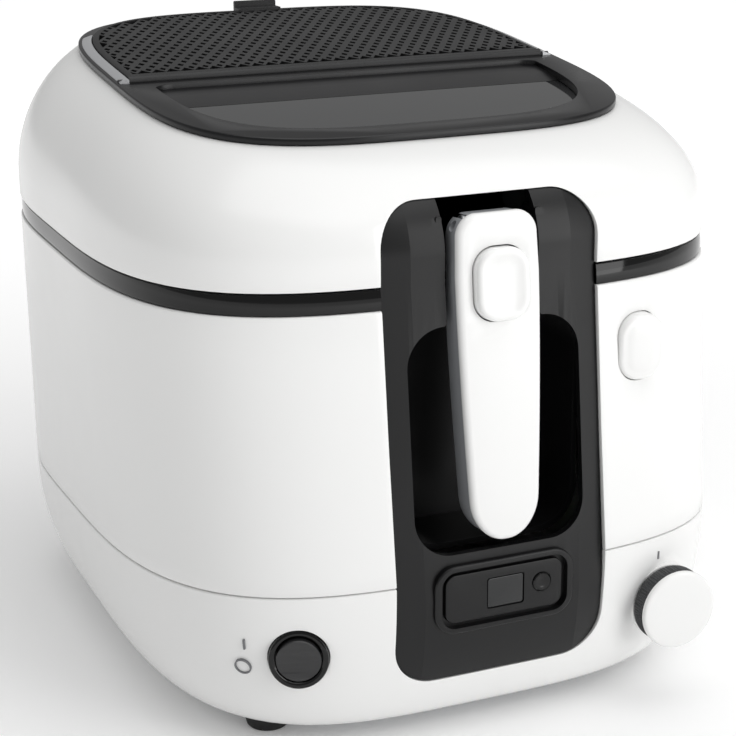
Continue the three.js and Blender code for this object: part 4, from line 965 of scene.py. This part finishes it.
# %% Liner and seal
LINER = Ring(119, 126, 123, LID_SEAM + 4)
liner = loft(
    [
        LINER.inset(-12),
        LINER.inset(-1.5),
        LINER.inset(0, z=LID_SEAM + 5.2),
        LINER.inset(0.6, z=LID_SEAM + 8),
        top_ring(13.4, -9.5),
        top_ring(14, -7.2),
        top_ring(15.6, -7.2),
        top_ring(15, -9.6),
        LINER.inset(2.2, z=LID_SEAM + 7),
        LINER.inset(1.4, z=LID_SEAM + 3.6),
        LINER.inset(0.2, z=LID_SEAM + 2.6),
        LINER.inset(-12, z=LID_SEAM + 2.6),
    ]
)
combine(liner, rounded_block(0, 205, 52, 110, -170, -102, 1, segments=1))
combine(liner, rounded_block(0, 195, 98, 90, -170, -142, 1, segments=1))
combine(liner, rounded_block(RELEASE_X, 195, 24, 90, -170, -136.5, 1, segments=1))
finish_piece(liner, "lid_bright_liner", "lid", "aluminium", pressed_aluminium, "lid_liner")
seal = loft(
    [
        LINER.inset(4, z=188.5),
        LINER.inset(2.4, z=192.6),
        LINER.inset(1, z=LID_SEAM + 2.2),
        LINER.inset(7, z=LID_SEAM + 2.2),
        LINER.inset(6.4, z=193),
        LINER.inset(6.5, z=188.5),
        LINER.inset(5.2, z=188.1),
    ]
)
combine(seal, rounded_block(0, 205, 52, 110, -170, -102, 1, segments=1))
finish_piece(seal, "lid_soft_seal", "lid", "seal_silicone", seal_silicone, "lid_seal")

# %% [markdown]
# The strap hangs from the lid behind the release button, and its hook is held by the yoke on that button. Both are
# blocks joined and softened, since a moulder would round every edge that a finger could meet.

# %% Catch and yoke
strap_y = release_y + 17
strap = rounded_block(RELEASE_X, 197, 12, 42, strap_y, strap_y + 2.4, 0.6, segments=2)
combine(strap, rounded_block(RELEASE_X, 177.5, 12, 3, strap_y + 1, strap_y + 4.4, 0.5, segments=2), "UNION")
soften(strap, 0.3)
finish_piece(strap, "lid_catch_strap", "lid", "grey_plastic", satin_mid_grey, "lid_catch")
button_back = release_y + 8.2
yoke = rounded_block(RELEASE_X, 176.2, 21, 12.5, button_back + 0.8, button_back + 2.5, 0.5, segments=2)
for x in (RELEASE_X - 9.25, RELEASE_X + 9.25):
    combine(yoke, rounded_block(x, 180.95, 2.5, 3.1, button_back + 1.2, strap_y + 8, 0.4, segments=2), "UNION")
combine(yoke, rounded_block(RELEASE_X, 180.95, 21, 3.1, strap_y + 2.8, strap_y + 8, 0.4, segments=2), "UNION")
finish_piece(yoke, "lid_catch_yoke", "lid_release", "grey_plastic", satin_mid_grey, "lid_latch")

# %% [markdown]
# ## The basket
# The basket is woven from steel wire. It starts as a loft of rings 6 to 7 mm apart, up the wall and across the
# floor. A wireframe modifier turns each edge of that net into a wire, and a hoop finishes the rim.

# %% Wire basket
BASKET_RING = Ring(98, 103, 102, 60)
floor_rings = [BASKET_RING.inset(12 + 7 * i) for i in range(11, 0, -1)]
wall_rings = [
    BASKET_RING.inset(12, z=60.6),
    BASKET_RING.inset(7.5, z=62.5),
    BASKET_RING.inset(4.6, z=67),
    *[BASKET_RING.inset(3.2 - 0.25 * i, z=73 + 6.3 * i) for i in range(12)],
]
wires = loft(floor_rings + wall_rings, segments=104, closed=False)
select_where(wires, lambda p, f: len(p) > 8 and p[0].z > 100, "FACE")
bpy.ops.mesh.delete(type="ONLY_FACE")
bpy.ops.object.mode_set(mode="OBJECT")
net = wires.modifiers.new("net", "WIREFRAME")
net.thickness, net.use_replace, net.use_even_offset, net.use_boundary = 1.1, True, False, True
bpy.context.view_layer.objects.active = wires
bpy.ops.object.modifier_apply(modifier="net")
weld(wires, 0.001)
finish_piece(wires, "basket_wire_net", "basket", "steel", steel_wire, "basket", angle=60)
hoop_z = 144.6
HOOP_RADIUS = 1.4
hoop_turns = [(HOOP_RADIUS * math.cos(i * math.pi / 4), HOOP_RADIUS * math.sin(i * math.pi / 4)) for i in range(8)]
hoop = loft([BASKET_RING.inset(HOOP_RADIUS + across, z=hoop_z + rise) for across, rise in hoop_turns])
finish_piece(hoop, "basket_rim_hoop", "basket", "steel", pressed_steel)

# %% [markdown]
# The bracket is a folded steel strap: a plate on the basket's front, a step over the bowl's rim, and two arms up to the
# handle's pin.

# %% Basket bracket
bar_low, bracket_y = 188.4, -103.6
bracket = rounded_block(0, (120 + bar_low + 3) / 2, 25, bar_low + 3 - 120, bracket_y - 2.4, bracket_y, 3, segments=4)
for side in (-1, 1):
    x = side * 11
    combine(bracket, rounded_block(x, bar_low + 1.5, 3, 3, PIVOT_Y - 3, bracket_y - 0.2, 0.6, segments=2), "UNION")
    arm_middle, arm_height = (bar_low + PIVOT_Z) / 2, PIVOT_Z - bar_low
    combine(bracket, rounded_block(x, arm_middle, 3, arm_height, PIVOT_Y - 3, PIVOT_Y + 3, 0.5, segments=2), "UNION")
    eye = turned([(3.6, -1.5), (4, -1.2), (4, 1.2), (3.6, 1.5)], (x, PIVOT_Y, PIVOT_Z), 32, along_x)
    combine(bracket, eye, "UNION")
combine(bracket, turned(PIN_BORE, (0, PIVOT_Y, PIVOT_Z), 24, along_x))
finish_piece(bracket, "basket_front_bracket", "basket", "steel", pressed_steel, "basket_bracket")

# %% [markdown]
# ## The bowl
# The oil bowl is drawn from aluminium and coated inside. Its flange rests on the deck, and small rings round its
# corners.

# %% Oil bowl
BOWL_RING = Ring(107, 113, 111, 50)
RIM_Z = 186.3
flange = body_ring(186).inset(14, z=RIM_Z)
flange.front = 128.5
bowl = loft(
    [
        BOWL_RING.inset(14, z=48.2),
        BOWL_RING.inset(7, z=50),
        BOWL_RING.inset(2.6, z=54.5),
        BOWL_RING.inset(0, z=62),
        BOWL_RING.inset(-1.2, z=RIM_Z - 2),
        BOWL_RING.inset(-2.8, z=RIM_Z),
        flange.inset(0.3),
        flange.inset(0, z=RIM_Z + 0.4),
        flange.inset(0, z=RIM_Z + 1.4),
        flange.inset(0.3, z=RIM_Z + 1.8),
        BOWL_RING.inset(-1.5, z=RIM_Z + 1.8),
        BOWL_RING.inset(0.4, z=RIM_Z - 1),
        BOWL_RING.inset(1.8, z=63),
        BOWL_RING.inset(4.4, z=56),
        BOWL_RING.inset(8.4, z=51.6),
        BOWL_RING.inset(15, z=50),
    ],
    closed=False,
)
finish_piece(bowl, "coated_oil_bowl", "housing", "bowl_coating", bowl_coating, "oil_bowl")

# %% [markdown]
# ## Feet, gland and marks
# Four rubber feet are turned once and copied. The gland where the supply cord would leave the base is a turned bush.
# Beside the switch stand the usual bar and ring for on and off, printed in grey, and the knob has one pointer tick.

# %% Feet
upright = Matrix.Rotation(math.radians(90), 4, "X")
foot = turned([(7.4, 0), (8.5, 0.2), (9.1, 0.9), (10.7, 7), (10.9, 7.7)], (0, 0, 0), 48, upright)
FEET = (("front_left", -84, -119), ("front_right", 84, -119), ("rear_left", -84, 88), ("rear_right", 84, 88))
for name, x, y in FEET:
    copy = foot.copy()
    copy.data = foot.data.copy()
    bpy.context.scene.collection.objects.link(copy)
    copy.data.transform(Matrix.Translation((x, y, 0)))
    finish_piece(copy, "rubber_foot_" + name, "housing", "foot_rubber", foot_rubber, "foot_" + name)
bpy.data.objects.remove(foot)

# %% Cord gland
CORD_X, CORD_Z = -60, 34
gland_rear = body_ring(CORD_Z).rear
gland_place = (CORD_X, gland_rear, CORD_Z)
gland = turned([(6, -28), (6, 1), (9.1, 1), (9.1, 3), (8.5, 3.8), (6.1, 4.2), (5.6, 5.6), (5, 6)], gland_place, 48)
combine(gland, turned([(3.6, -60), (3.6, 30)], gland_place, 32))
combine(gland, rounded_block(CORD_X, 30, 60, 60, 60, 112, 1, segments=1))
finish_piece(gland, "cord_outlet_gland", "housing", "foot_rubber", foot_rubber, "cord_gland")

# %% Printed marks
MARK_X, BAR_Z, RING_Z = -105.0, 55.0, 44.4


def wall_place(x, z):
    step = 0.5
    across = (front_wall(x + step, z) - front_wall(x - step, z)) / (2 * step)
    upward = (front_wall(x, z + step) - front_wall(x, z - step)) / (2 * step)
    turn = Matrix.Rotation(math.atan(across), 4, "Z") @ Matrix.Rotation(-math.atan(upward), 4, "X")
    return Matrix.Translation((x, front_wall(x, z), z)) @ turn


bar_mark = rounded_block(0, 0, 0.9, 4.6, -0.12, 0.8, 0.2, segments=2)
bar_mark.data.transform(wall_place(MARK_X, BAR_Z))
finish_piece(bar_mark, "switch_mark_on", "housing", "grey_plastic", printed_grey)
ring_mark = turned([(3.6, 0.8), (3.6, -0.16)], (0, 0, 0), 64)
combine(ring_mark, turned([(3.0, 3), (3.0, -3)], (0, 0, 0), 64))
ring_mark.data.transform(wall_place(MARK_X, RING_Z))
finish_piece(ring_mark, "switch_mark_off", "housing", "grey_plastic", printed_grey)
tick = rounded_block(0, 0, 0.8, 3.6, -0.12, 0.8, 0.2, segments=2)
tick.data.transform(wall_place(KNOB_X - 4, KNOB_Z + KNOB_RADIUS + 4.4))
finish_piece(tick, "thermostat_mark", "housing", "grey_plastic", printed_grey)
